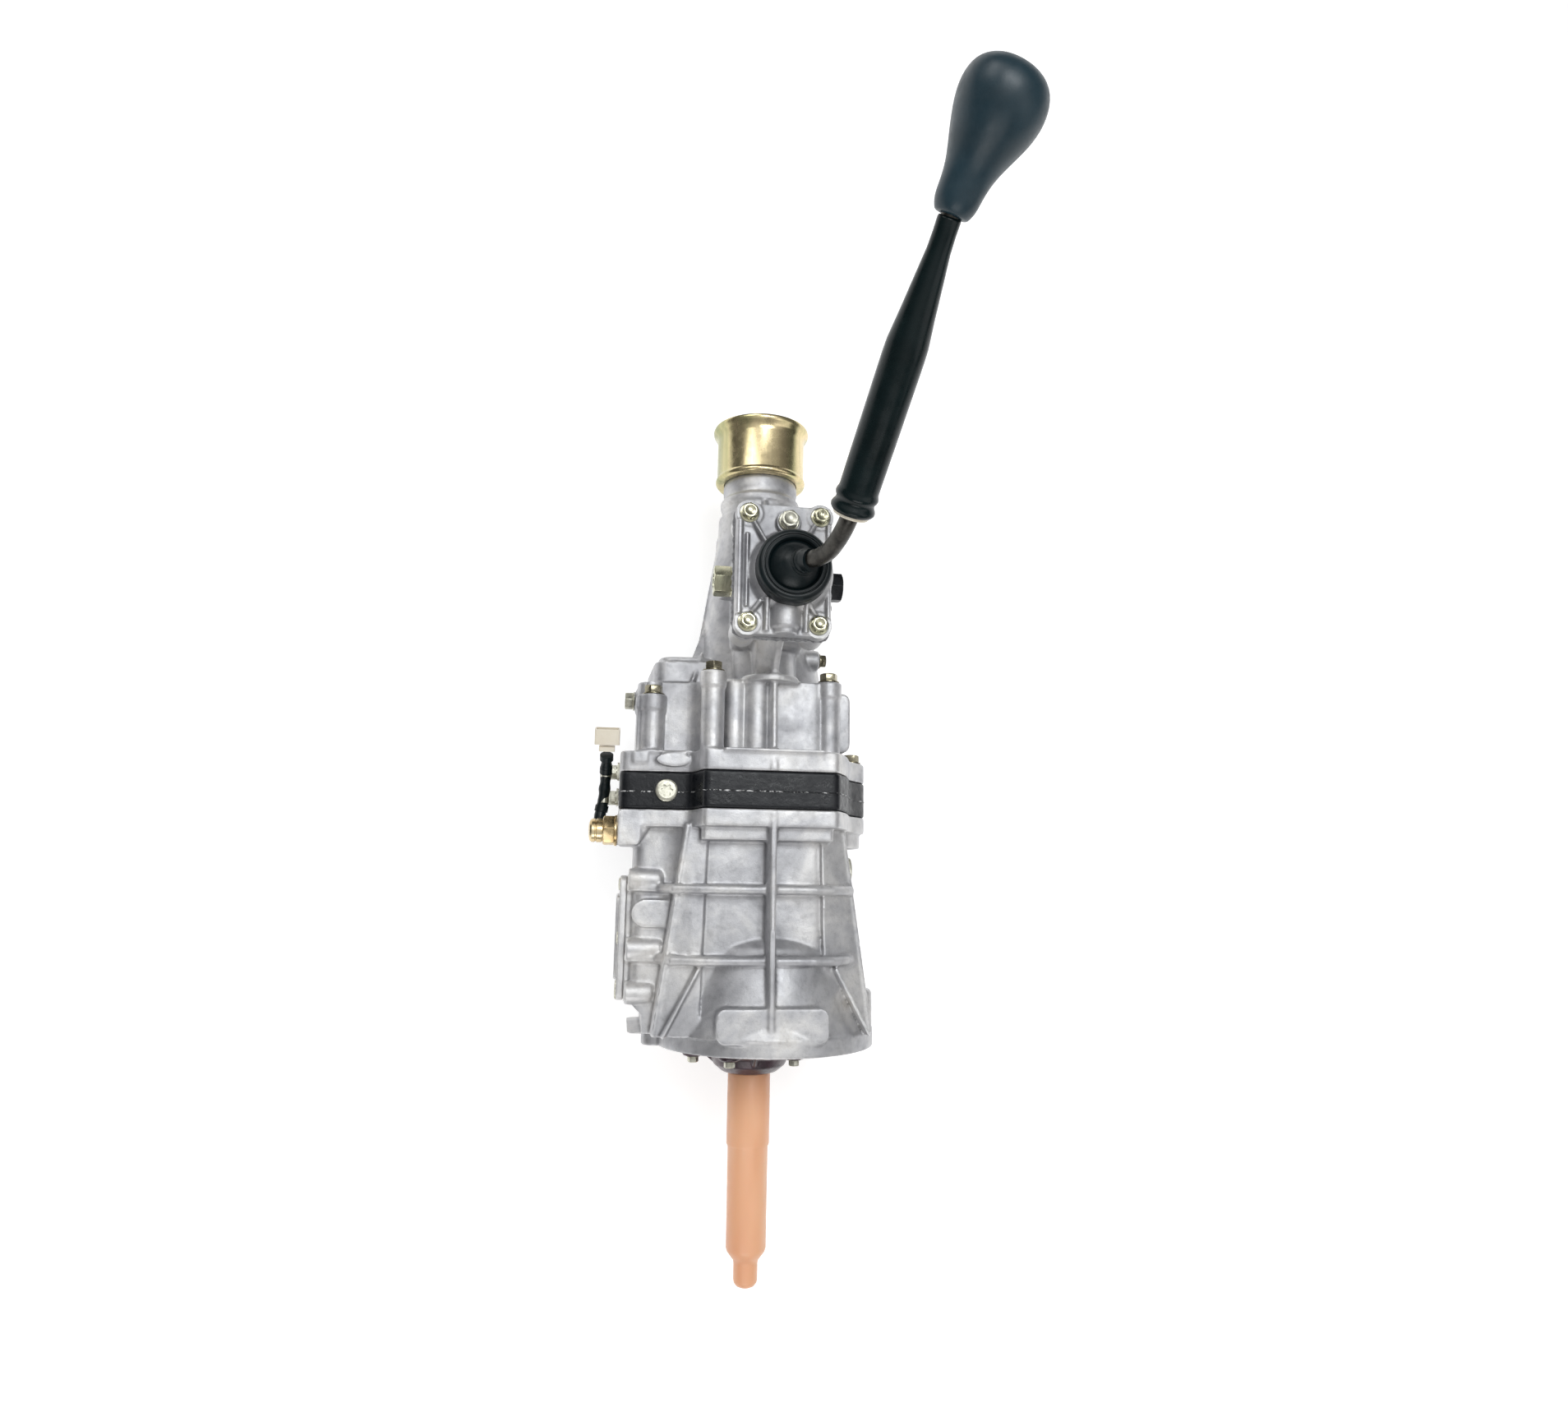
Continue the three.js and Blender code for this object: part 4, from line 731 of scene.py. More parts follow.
def make_extension():
    solids = [
        prism("Y", rounded(JOINT_FACE), 15, 32),
        prism("Y", rounded(TAIL_BODY), 29, 93),
        lathe("Y", (0, 0, 0), TAIL_OUTSIDE, 128),
        # lip along the flange between the bolt tubes
        beam((-36, 31.8, 97.4), (44, 31.8, 97.4), 2.6, 12), beam(
            (-60, 31.8, 68.6), (-102, 31.8, 64.4), 2.4, 8
        ),
        prism("Z", box_outline(-108, 22, -96, 31.5, 2), 52, 65), prism("Z", lens(-75, 25, 14, 5.6), 52, 68.4),
        # the crown between the tubes: two half-round galleries, the spine and the half disc behind it
        pin("Y", (-27, 0, 71), 9.6, 30, 92, 3), pin("Y", (-9, 0, 74.5), 10.4, 30, 92, 3),
        beam((3.5, 16, 96.3), (3.5, 96, 90), 6.6, 44), pin("Y", (2, 0, 71), 24, 89.4, 95, 1.5, 64),
        prism(
            "X",
            rounded([(88, 40, 1), (92, 88, 4), (110, 108, 6), (120, 131, 4), (130, 131, 1), (130, 40, 1)]),
            0.6, 6.2
        ),
        loft(
            [(-11, 92, 72), (5, 92, 86), (5, 92, 40), (-11, 92, 40)],
            [(-15, 128, 116), (5, 128, 130), (5, 128, 40), (-15, 128, 40)]
        ),
        # tower: a waisted neck under a wide pad
        prism("Z", box_outline(-29, 120, 32, 210, 10), 0, 134), prism(
            "Z", box_outline(-33, 116, 34, 214, 10), 120, 134
        ),
        prism("Z", box_outline(-37, 113, 38, 217, 10), 127, 138.6),
        *[bar("Z", (x, y, 0), 10.6, 108, 138.6) for x, y in TOWER_BOLTS],
        beam(
            (-34, 165, 112), (-42, 165, 60), 4, 20, (-1, 0, 0)
        ), beam((35, 165, 112), (42, 165, 60), 4, 20, (1, 0, 0)),
        pin("X", (0, 169, 95), 13, 0, -34, 2), pin("X", (0, 169, 95), 13, 0, 36, 2),
        # shift rod's rear boss, selector bump, idler boss, mounting pad
        pin("Y", (0, 0, 48), 18, 200, 223, 4), pin("Y", (0, 0, 45), 27, 88, 130, 3), prism(
            "Z", box_outline(-17, 214, 7, 248, 7), 0, 57
        ), beam((0, 215, 62), (0, 268, 34.5), 5, 20),
        prism("Y", rounded([(-97, -40, 8), (-40, -42, 8), (-40, 46, 10), (-92, 43, 12)]), 86, 112),
        prism("Y", rounded([(-93, -36, 8), (-44, -38, 8), (-44, 42, 10), (-88, 39, 12)]), 100, 117),
        beam((-62, 90, 50), (-52, 122, 40), 3.4, 24), beam((-70, 92, 30), (-50, 150, 10), 4, 24, (-1, 0, 0)),
        pin("Y", IDLER, 17, 84, 104, 4), prism("Z", box_outline(-35, 198, 42, 260, 8), -58, -28),
        pin("X", (0, 121, 30), 9, 30, 51, 2), pin("X", (0, 80, 20), 10, -92, -108, 2),
        prism("Z", box_outline(60, 40, 79, 92, 8), -20, 34),
        # ribs along the tail's sides and underneath
        beam((58, 92, 4), (34, 262, 2), 4, 20, (1, 0, 0)), beam(
            (-58, 112, 4), (-34, 262, 2), 4, 20, (-1, 0, 0)
        ),
        beam(
            (-44, 90, -40), (-36, 200, -40), 4, 24, (-0.6, 0, -0.8)
        ), beam((44, 90, -40), (36, 200, -40), 4, 24, (0.6, 0, -0.8)),
        beam((0, 90, -62), (0, 330, -35.4), 4.4, 20, (0, 0, -1)),
    ]
    for x, z, seat in CASE_BOLTS:
        reach = 13 if seat > 50 else 6
        solids += [
            bar("Y", (x, 0, z), 9.6, 16, seat - 0.4), bar("Y", (x, 0, z), 10.9, seat - reach, seat - 0.2)
        ]
    solids += [
        block(-107.5, 66.5, 20, -83, 79.8, 57, 4), block(-106, 30, 20, -84, 70, 56, 4),
        block(43, 30, 20, 63, 90, 60, 4)
    ]
    obj = cast(put("extension_skin", *solids))
    carve(
        obj,
        prism("Y", rounded(grown(TAIL_BODY, -WALL), 3), 5, 88), lathe("Y", (0, 0, 0), TAIL_INSIDE, 64),
        prism("Z", box_outline(-23, 127, 26, 203, 6), 0, 150),
        prism("Y", rounded([(-91, -35, 3), (-20, -36, 5), (-20, 44, 5), (-91, 38, 3)]), 80, 112.5),
        prism("Y", box_outline(-20, 20, 20, 60, 4), 80, 128), prism(
            "Y", box_outline(-20, 20, 20, 66, 6), 125, 203
        ), bar("Y", (0, 0, 48), 14.6, 195, 219),
        bar("Y", IDLER, 9.3, 80, 100),
        block(-150, 5, -150, 140, 15.3, 150), block(-60, 100, 138, 60, 230, 150),
        *[bar("Y", (x, 0, z), 9.7, seat, seat + 30) for x, z, seat in CASE_BOLTS],
        bar("X", (0, 169, 95), 7.3, -40, -28), bar("X", (0, 169, 95), 7.3, 30, 42),
    )
    return finish_piece(obj, "housing", M["cast"], "extension_housing")


# ------------------------------------------------------------------ lever retainer
def make_lever_retainer():
    top = 148
    solids = [
        prism("Z", box_outline(-37, 113, 38, 217, 10), 138.8, top),
        *[bar("Z", (x, y, 0), 10.6, 138.8, top + 0.8) for x, y in TOWER_BOLTS],
        lathe(
            "Z", (PX, PY, 0),
            [
                (0, 140), (33.5, 140), (33.5, 148.6), (31.5, 152), (29, 154.6), (26.6, 155), (26.4, 164),
                (0, 164)
            ],
            96
        ),
        beam((-34.2, 128, 152), (-34.2, 203, 152), 4, 8), beam(
            (-28.4, 134, 150.6), (-28.4, 192, 150.6), 2.4, 6
        ),
        beam((35.2, 128, 151.4), (35.2, 203, 151.4), 3.4, 8),
        pin("Y", (2.5, 0, 146), 12, 150, 118, 2), pin("Y", (2.5, 0, 146), 9.5, 150, 113.6, 1),
        beam((-13, 115, 153), (-13, 140, 157), 3.4, 12), beam((17.5, 115, 153), (17.5, 140, 157), 3.4, 12),
        beam((-24, 203, 151), (-13, 182, 157), 3.2, 14), beam((25, 203, 151), (14, 184, 157), 3.2, 14),
        beam((-25, 129, 151), (-18, 138, 156), 3.2, 12), beam((26, 129, 151), (19, 138, 156), 3.2, 12),
        bar("Z", (3, 202, 0), 9.4, 140, 153.6),
    ]
    obj = cast(put("lever_retainer_skin", *solids), voxel=0.8, rounds=4, keep=0.6)
    carve(
        obj,
        bar(
            "Z", (PX, PY, 0), 24.5, 143, 180
        ), bar("Z", (PX, PY, 0), 15, 130, 150), block(-60, 100, 120, 60, 230, 138.85),
        *[bar("Z", (x, y, 0), 8.2, top, top + 6) for x, y in TOWER_BOLTS],
    )
    finish_piece(obj, "housing", M["cast_dark"], "shift_lever_retainer")
    # sealant squeezed out of the joint
    edge = box_outline(-36.8, 113.2, 37.8, 216.8, 10, 10)
    line = []
    for i, p in enumerate(edge):
        q = edge[(i + 1) % len(edge)]
        steps = max(1, int(math.dist(p, q) / 1.6))
        line += [(p[0] + (q[0] - p[0]) * k / steps, p[1] + (q[1] - p[1]) * k / steps,
            138.4) for k in range(steps)]
    radii = [1.9 + 1.2 * max(-0.5, noise.noise(Vector(p) * 0.35)) + 0.6 * noise.noise(Vector(p) * 1.3) for p in line]
    seam = put("tower_sealant", tube([*line, line[0]], [*radii, radii[0]], 10))
    finish_piece(seam, "housing", M["sealant"])


# ------------------------------------------------------------------ bearing retainer
def make_bearing_retainer():
    face = -203.7
    solids = [
        bar("Y", (0, 0, 0), 52, face - 7, face, steps=96), bar(
            "Y", (0, 0, COUNTER_Z), 34, face - 7, face, steps=64
        ),
        block(-32, face - 7, -82, 32, face, 0, 2),
        *[pin("Y", (x, 0, z), 9, face, face - 9, 2) for x, z in RETAINER_BOLTS],
        lathe(
            "Y", (0, 0, 0),
            [(0, -228), (23, -228), (30, -222.5), (33.5, -215), (42, -210), (42, face), (0, face)], 96
        ),
        *[beam((28 * math.cos(a), -223, 28 * math.sin(a)), (48 * math.cos(a), face - 4, 48 * math.sin(a)), 4,
            10,
               (math.cos(a), -1, math.sin(a))) for a in [math.radians(d) for d in (0, 90, 180, 270)]],
    ]
    obj = cast(put("bearing_retainer_skin", *solids), voxel=0.9, rounds=4, keep=0.6)
    carve(obj, lathe("Y", (0, 0, 0), [(0, -231), (13.6, -231), (13.6, -216), (20, -216), (26, -206),
        (26, -203), (0, -203)], 64),
          block(-100, face - 0.1, -150, 100, -195, 100))
    finish_piece(obj, "housing", M["brown"], "front_bearing_retainer")
    nose = put(
        "retainer_nose",
        lathe(
            "Y", (0, 0, 0), [(13.6, -283), (14.6, -283), (15.0, -282.5), (15.0, -227), (13.6, -227)], 96,
            closed=True
        )
    )
    finish_piece(nose, "housing", M["bright"])


make_front_case()
make_plate()
make_extension()
make_lever_retainer()
make_bearing_retainer()


# ------------------------------------------------------------------ bolts and plugs
def hexagon(radius, turn=0.0):
    return [(radius * math.cos(turn + math.pi * k / 3),
        radius * math.sin(turn + math.pi * k / 3)) for k in range(6)]


def hex_head(flats, height, base=0.0, dish=True, turn=0.0, bore=0.0, bore_depth=0.0):
    """A hexagon head standing on z = base, its corners chamfered and its top dished."""
    reach = flats / math.sqrt(3)
    obj = put("head", prism("Z", hexagon(reach, turn), base - SHAFT_Z, base + height - SHAFT_Z))
    cone = lathe("Z", (0, 0, -SHAFT_Z), [(0, base - 1), (reach + 2, base - 1),
        (reach + 1.5, base + height - (reach + 1.5 - flats / 2) * 0.55),
                                          (flats / 2 - 0.3, base + height), (0, base + height)], 48)
    carve(obj, cone, operation="INTERSECT")
    if dish:
        wide = flats * 0.39
        carve(
            obj,
            lathe(
                "Z", (0, 0, -SHAFT_Z),
                [
                    (0, base + height - 1.1), (wide - 1.6, base + height - 0.9), (wide, base + height + 0.1),
                    (wide, base + height + 2), (0, base + height + 2)
                ],
                40
            )
        )
    if bore:
        carve(obj, bar("Z", (0, 0, -SHAFT_Z), bore, base + height - bore_depth, base + height + 3))
    bevel(obj, 0.35, 2, 30)
    return obj


def join(name, *objects):
    """Joins meshes made about the origin into one."""
    bm = bmesh.new()
    for obj in objects:
        bm.from_mesh(obj.data)
        bpy.data.objects.remove(obj)
    mesh = bpy.data.meshes.new(name)
    bm.to_mesh(mesh)
    bm.free()
    made = bpy.data.objects.new(name, mesh)
    bpy.context.scene.collection.objects.link(made)
    return made


def stand(obj, start, direction, turn=0.0):
    """Moves a piece made about +Z onto a seat."""
    spin = Vector((0, 0, 1)).rotation_difference(Vector(direction)) @ Matrix.Rotation(turn, 3,
        "Z").to_quaternion()
    place = Matrix.Translation((Vector(start) + Vector((0, 0, SHAFT_Z))) * MM) @ spin.to_matrix().to_4x4()
    obj.data.transform(place)
    return obj


def turned(name, *profiles, steps=64):
    return put(name, *[lathe("Z", (0, 0, -SHAFT_Z), p, steps) for p in profiles])


def flange_bolt(name, start, direction, flats, head, flange, thick, shank, length, turn):
    body = turned(
        name,
        [
            (0, 0), (flange - 0.5, 0), (flange, 0.5), (flange, thick * 0.6), (flange - 1.4, thick),
            (flats * 0.52, thick + 0.5), (0, thick + 0.5)
        ],
        [(0, -length), (shank, -length), (shank, 0.2), (0, 0.2)],
    )
    return stand(join(name, body, hex_head(flats, head - 0.4, thick + 0.2, turn=turn)), start, direction)


BOLT_TURNS = (0.2, 0.45, 0.05, 0.8)
for i, (x, z, seat) in enumerate(CASE_BOLTS):
    name = f"extension_bolt_{i + 1}" if i < 3 else "extension_ear_bolt"
    bolt = flange_bolt(name + "_fine", (x, seat, z), (0, 1, 0), 13, 6.4, 9, 1.6, 3.9, 20, BOLT_TURNS[i])
    finish_piece(
        bolt, "housing", M["zinc_dull"], f"extension_bolt_{i + 1}" if i < 3 else (), 30
    )
for i, (x, y) in enumerate(TOWER_BOLTS):
    bolt = flange_bolt(
        f"tower_bolt_{i + 1}_fine", (x, y, 148), (0, 0, 1), 11, 6.2, 7.5, 1.4, 3.3, 20, BOLT_TURNS[i] + 0.3
    )
    finish_piece(bolt, "housing", M["zinc_pale"], f"tower_bolt_{i + 1}", 30)


def hex_plug(
    name, start, direction, flats, head, collar, material, turn, bore=0.0, bore_depth=0.0, extras=(),
    dish=False
):
    """A threaded plug: collar, hexagon and whatever stands out of it."""
    body = turned(
        name, [(0, -10), (6.8, -10), (6.8, -1), (collar, -1), (collar, 0.2), (collar - 0.7, 1.1), (0, 1.1)],
        *extras
    )
    head_piece = hex_head(flats, head, 1.0, dish=dish, turn=turn, bore=bore, bore_depth=bore_depth)
    return stand(join(name, body, head_piece), start, direction), material


def plug(name, slot, *rest, **kw):
    obj, material = hex_plug(name + "_fine", *rest, **kw)
    return finish_piece(obj, "housing", material, name, 30)


plug(
    "restrict_pin_left", "yellow_zinc", (-34.3, 169, 95), (-1, 0, 0), 22, 14, 12.4, M["zinc_pale"], 0.1,
    bore=6.4, bore_depth=9
)
plug(
    "restrict_pin_right", "black_paint", (36.3, 169, 95), (1, 0, 0), 22, 19.6, 12.4, M["black_paint"], 0.1,
    bore=7, bore_depth=6
)
plug("breather_plug", "pale_zinc", (3, 202, 154), (0, 0, 1), 12.6, 7, 8.2, M["pale_zinc"], 0.25, dish=True)
plug("filler_plug", "pale_zinc", (79.3, -61, 0), (1, 0, 0), 22, 6, 13, M["pale_zinc"], 0.2, dish=True)
plug("drain_plug", "pale_zinc", (0, -100, -126.3), (0, 0, -1), 19, 3, 12, M["pale_zinc"], 0.2)

detent = turned(
    "detent", [(0, 0), (8.6, 0), (9, 0.4), (9, 1.2), (8.2, 1.8), (6.6, 2.0), (6.6, 2.9), (0, 2.9)],
    [(0, -12), (5.6, -12), (5.6, 0.2), (0, 0.2)]
)
carve(
    detent,
    prism(
        "Z",
        [((4.2 + 0.9 * math.cos(6 * a)) * math.cos(a),
            (4.2 + 0.9 * math.cos(6 * a)) * math.sin(a)) for a in [math.tau * k / 72 for k in range(72)]],
        1 - SHAFT_Z, 6 - SHAFT_Z
    )
)
finish_piece(
    stand(detent, (-80, 0, 65.2), (0, 0, 1)), "housing", M["pale_zinc"], "detent_plug", 30
)

for i, (x, z) in enumerate(RETAINER_BOLTS):
    bolt = flange_bolt(f"retainer_bolt_{i + 1}", (x, -212.7, z), (0, -1, 0), 8, 4.4, 5.6, 1.0, 3, 15, 0.3 * i)
    finish_piece(bolt, "housing", M["pale_zinc"], (), 30)
screws = [lathe("X", (0, y, z), [(0, -113.5), (5.4, -113.5), (5.2, -114.6), (3.6, -115.2), (0, -115.4)], 32)
          for y in (-161, -118, -75) for z in (35, -21)]
finish_piece(put("cover_screws", *screws), "housing", M["pale_zinc"], (), 30)
bolt = flange_bolt("tail_boss_bolt", (51.2, 121, 30), (1, 0, 0), 10, 5, 6.6, 1.2, 3, 12, 0.1)
finish_piece(bolt, "housing", M["zinc_dull"], (), 30)
bolt = flange_bolt("tail_side_plug", (-108.2, 80, 20), (-1, 0, 0), 13, 7, 8.4, 1.4, 3.4, 12, 0.1)
finish_piece(bolt, "housing", M["pale_zinc"], (), 30)

cover = put(
    "side_cover_fine", prism("X", box_outline(-167, -28, -68, 42, 9), -114, -108.4),
    prism("X", box_outline(-152, -14, -83, 28, 8), -116.6, -113)
)
bevel(cover, 1.2)
finish_piece(cover, "housing", M["cast"], "side_cover", 30)

# ------------------------------------------------------------------ tail: deflector and seal
deflector = put(
    "dust_deflector_fine",
    lathe("Y", (0, 0, 0), [
        (33.9, 291), (38.6, 291), (40.2, 291.5), (41.3, 292.8), (41.6, 294.2), (41.3, 295.6), (40.4, 296.6),
        (40.3, 297.4), (40.3, 332),
        (40.7, 335), (41.8, 337.6), (43.4, 339.6), (44.3, 341.4), (44.5, 343.2), (44.0, 344.4), (43.1, 344.3),
        (42.5, 342.4), (41.2, 340),
        (39.3, 338), (38.7, 335), (38.7, 299), (33.9, 299),
    ], 128, closed=True),
)
finish_piece(deflector, "housing", M["zinc"], "dust_deflector", 35)
seal = put(
    "rear_oil_seal_fine",
    lathe("Y", (0, 0, 0), [
        (26.8, 323.6), (27.2, 335.4), (30.4, 336.2), (30.6, 337.4), (30.2, 338.6), (27.6, 338.8),
        (26.4, 337.8), (25.4, 335),
        (23.6, 334.6), (22.4, 337), (21.4, 337.4), (20.2, 335.4), (19.4, 332), (20.6, 328), (22.6, 326),
        (22.6, 323.6),
    ], 96, closed=True),
)
finish_piece(seal, "housing", M["rubber"], "rear_oil_seal", 40)

# ------------------------------------------------------------------ shaft cover
cover = put(
    "shaft_cover_fine",
    lathe("Y", (0, 0, 0), [
        (15.5, -229), (17.3, -229), (17.8, -229.7), (17.8, -285.4), (17.2, -287), (16.7, -288), (16.5, -330),
        (16.4, -366), (15.6, -368.6),
        (12.0, -373.2), (10.4, -375.2), (9.9, -378), (9.9, -390), (9.4, -392.4), (7.6, -394.6), (4.6, -396.0),
        (0, -396.4), (0, -394.4),
        (4, -394), (7.9, -391), (7.9, -377), (9, -374), (14.4, -367.6), (14.5, -288.6), (15.5, -286),
    ], 96),
)
bm = bmesh.new()
bm.from_mesh(cover.data)
bm.verts.ensure_lookup_table()
edges = [e for e in bm.edges if e.is_boundary]
bmesh.ops.bridge_loops(bm, edges=edges) if edges else None
bmesh.ops.recalc_face_normals(bm, faces=bm.faces)
bm.to_mesh(cover.data)
bm.free()
finish_piece(cover, "cover", M["orange"], "shaft_cover", 40)

# ------------------------------------------------------------------ reversing-light switch and its lead
SWITCH = (-119.6, -32, 40)
switch = turned("switch", [(0, -28), (6.8, -28), (6.8, -1.4), (12.4, -1.4), (12.6, -0.8), (12.6, 0.6),
    (12, 1), (0, 1)],
                [
                    (0, 9), (8.6, 9), (8.6, 10.4), (9.6, 10.6), (9.8, 12), (9.8, 15), (9, 15.6), (9, 16.2),
                    (9.6, 16.6), (9.6, 19), (8.4, 20.6), (5, 21.6), (0, 21.8)
                ])
switch = stand(
    join("reverse_light_switch_fine", switch, hex_head(22, 9.2, 0.9, dish=False, turn=0.12)), SWITCH,
    (-1, 0, 0)
)
finish_piece(switch, "housing", M["brass"], "reverse_light_switch", 30)
route = smooth_path(
    [
        (-136, -32, 30), (-136, -31.5, 24), (-135, -27, 17), (-133, -17, 14), (-131, -4, 15), (-130, 10, 19),
        (-129.5, 22, 27), (-129.5, 31, 34.2)
    ],
    12
)
jacket = [4.6 + 0.9 * noise.noise(Vector(p) * 0.16) for p in route]
lead = put("switch_lead_fine", tube([(-136, -32, 38), (-136, -32, 34), *route], [3.4, 3.6, *jacket], 24))
finish_piece(lead, "housing", M["rubber"], "switch_lead")
collar = put(
    "lead_collar", tube(route[38:44], 5.6, 24), tube([route[-1], route[-6]], 5.6, 24),
    tube([route[-14], route[-18]], 5.4, 24)
)
finish_piece(collar, "housing", M["rubber"])

plug_axis = Vector((0, 1, 0.35)).normalized()
shell = put("connector", prism("Z", box_outline(-6.6, -4.6, 6.6, 4.6, 1.6), 2 - SHAFT_Z, 6 - SHAFT_Z),
    prism("Z", box_outline(-10.4, -6, 10.4, 6, 1.8), 8 - SHAFT_Z, 21 - SHAFT_Z),
            prism("Z", box_outline(-3, 4, 3, 7.4, 0.8), 8 - SHAFT_Z, 20 - SHAFT_Z), prism(
                "Z", box_outline(-9, -2, 9, 2, 0.8), 12 - SHAFT_Z, 14.5 - SHAFT_Z
            ))
union = shell.modifiers.new("skin", "REMESH")
union.mode, union.voxel_size = "VOXEL", 0.45 * MM
bake(shell)
carve(shell, prism("Z", box_outline(-8.9, -4.6, 8.9, 4.6, 1.0), 11 - SHAFT_Z, 30 - SHAFT_Z))
stand(shell, (-129.5, 32.4, 35.4), plug_axis)
finish_piece(shell, "housing", M["cream"], "lead_connector", 35)
blades = put(
    "connector_blades",
    *[prism("Z", box_outline(x - 0.4, -2.4, x + 0.4, 2.4, 0.2), 9 - SHAFT_Z, 18 - SHAFT_Z) for x in (-3, 3)]
)
finish_piece(stand(blades, (-129.5, 32.4, 35.4), plug_axis), "housing", M["brass"])

# lead clips: a strap bent round the lead and screwed to the shoulder
for name, y, z, node in (("lead_bracket_fine", -3, 15.2, "lead_bracket"), ("lead_clip_rear", 18, 23.6, ())):
    clip = put(name,
               lathe(
                   "Y", (-130.6 if y < 0 else -129.8, 0, z),
                   [(3.4, y - 4.6), (4.2, y - 4.6), (4.2, y + 4.6), (3.4, y + 4.6)], 40, closed=True
               ),
               prism("Y", [(-128, z - 4), (-118.4, z - 4), (-118.4, z - 2.4), (-128, z - 2.4)], y - 6, y + 6),
               prism("X", box_outline(y - 7, z - 6, y + 7, z + 12, 2), -120.2, -118.3),
               lathe("X", (0, y, z + 5), [(0, -120), (5, -120), (5, -121), (0, -121)], 32),
               prism(
                   "X",
                   [(y + 3.6 * math.cos(math.tau * k / 6),
                       z + 5 + 3.6 * math.sin(math.tau * k / 6)) for k in range(6)],
                   -124.4, -120.6
               ))
    finish_piece(clip, "housing", M["pale_zinc"], node, 30)

# ------------------------------------------------------------------ inner parts and what shows of the shafts
shaft = put(
    "input_spigot",
    lathe("Y", (0, 0, 0), [(0, -392), (6.7, -392), (7.5, -391.2), (7.5, -367), (0, -367)], 64),
    prism(
        "Y",
        [((13.3 if k % 4 < 2 else 12.2) * math.cos(math.tau * k / 84),
            (13.3 if k % 4 < 2 else 12.2) * math.sin(math.tau * k / 84)) for k in range(84)],
        -364, -300
    ),
)
finish_piece(shaft, "input", M["bright"])

# ------------------------------------------------------------------ lever, sleeve, boot, cap and knob
ROD_START, ROD_END = Vector((33, 180, 239)), Vector((65, 323, 363))
ROD_AXIS = (ROD_END - ROD_START).normalized()
SLEEVE = 191.96


def rod(at):
    return tuple(ROD_START + ROD_AXIS * at)


line = smooth_path(
    [(PX, PY, 154), (10.6, 163.4, 178), (19.6, 162, 192.5), (26.2, 164.6, 211.5), rod(0), rod(60)], 14
)
lever = put("shift_lever_fine", tube(line, 6.6, 32),
    tube([rod(0), rod(SLEEVE + 20), rod(SLEEVE + 33)], [6.0, 6.0, 5.2], 40),
            lathe(
                "X", (0, PY, 154),
                [(12 * math.sin(math.pi * k / 24), PX - 12 * math.cos(math.pi * k / 24)) for k in range(25)],
                48
            ),
            tube([(PX, PY, 154), (PX, PY, 112)], [6, 4.6], 24),
            lathe(
                "X", (0, PY, 109),
                [(7.6 * math.sin(math.pi * k / 20),
                    PX - 7.6 * math.cos(math.pi * k / 20)) for k in range(21)],
                40
            ))
weld = lever.modifiers.new("weld", "REMESH")
weld.mode, weld.voxel_size = "VOXEL", 0.6 * MM
soften = lever.modifiers.new("soften", "SMOOTH")
soften.factor, soften.iterations = 0.5, 6
bake(lever)
finish_piece(lever, "lever", M["lever"], "shift_lever", 60)

sleeve = lathe("Z", (0, 0, 0), [
    (6.4, 0), (13.6, 0), (14.6, 0.5), (15.7, 2.0), (15.9, 3.4), (15.3, 5.2), (14.2, 6.8), (13.8, 8.2),
    (14.0, 9.6), (14.9, 11.0), (15.3, 12.6),
    (15.0, 14.2), (14.4, 15.6), (14.1, 17.4), (14.2, 60), (14.2, 108), (13.9, 116), (11.6, 135), (9.2, 158),
    (7.7, 172), (7.4, 182), (7.5, 190),
    (7.2, 191.2), (6.4, 191.6), (6.2, 186),
], 96, closed=True)
damper = put("lever_damper_fine", swung(sleeve, "Z", (0, 0, 1), ROD_AXIS, ROD_START))
finish_piece(damper, "lever", M["gloss"], "lever_damper", 50)
ring = put(
    "sleeve_ring",
    swung(
        lathe(
            "Z", (0, 0, 0), [(6.2, -2.4), (12.6, -2.2), (13.0, -1.4), (12.9, -0.2), (6.2, -0.2)], 64,
            closed=True
        ),
        "Z", (0, 0, 1), ROD_AXIS, ROD_START
    )
)
finish_piece(ring, "lever", M["cream"])

dome = [(3.0, 178.4), (6, 178.0), (9.4, 176.6)] + [(24.2 * math.sin(math.radians(a)),
    154 + 24.2 * math.cos(math.radians(a))) for a in range(26, 70, 3)]
dome += [(22.0 * math.sin(math.radians(a)), 154 + 22.0 * math.cos(math.radians(a))) for a in range(68, 23,
    -4)] + [(3.0, 175)]
boot = put(
    "lever_boot_fine", lathe("Z", (PX, PY, 0), dome, 96, closed=True),
    tube(
        smooth_path([(10.6, PY, 174), (11.8, 162.8, 180), (15.2, 161.4, 186)]),
        [10.5] * 5 + [9.4] * 4 + [8.6] * 8, 40
    )
)
finish_piece(boot, "lever", M["rubber"], "lever_boot", 50)

cap = put("lever_cap_fine", lathe("Z", (PX, PY, 0), [
    (26.9, 155.5), (28.6, 155.5), (29.0, 156), (29.0, 165.4), (28.6, 167.2), (27.6, 168.9), (26.2, 170.0),
    (24.6, 170.5), (24.2, 170.4), (23.8, 169.5),
    (23.2, 169.4), (22.8, 170.5), (21.0, 170.9), (20.2, 170.2), (19.4, 168.6), (20.2, 168.2), (25.5, 168.2),
    (26.9, 166.5),
], 128, closed=True))
finish_piece(cap, "housing", M["rubber"], "lever_cap", 45)

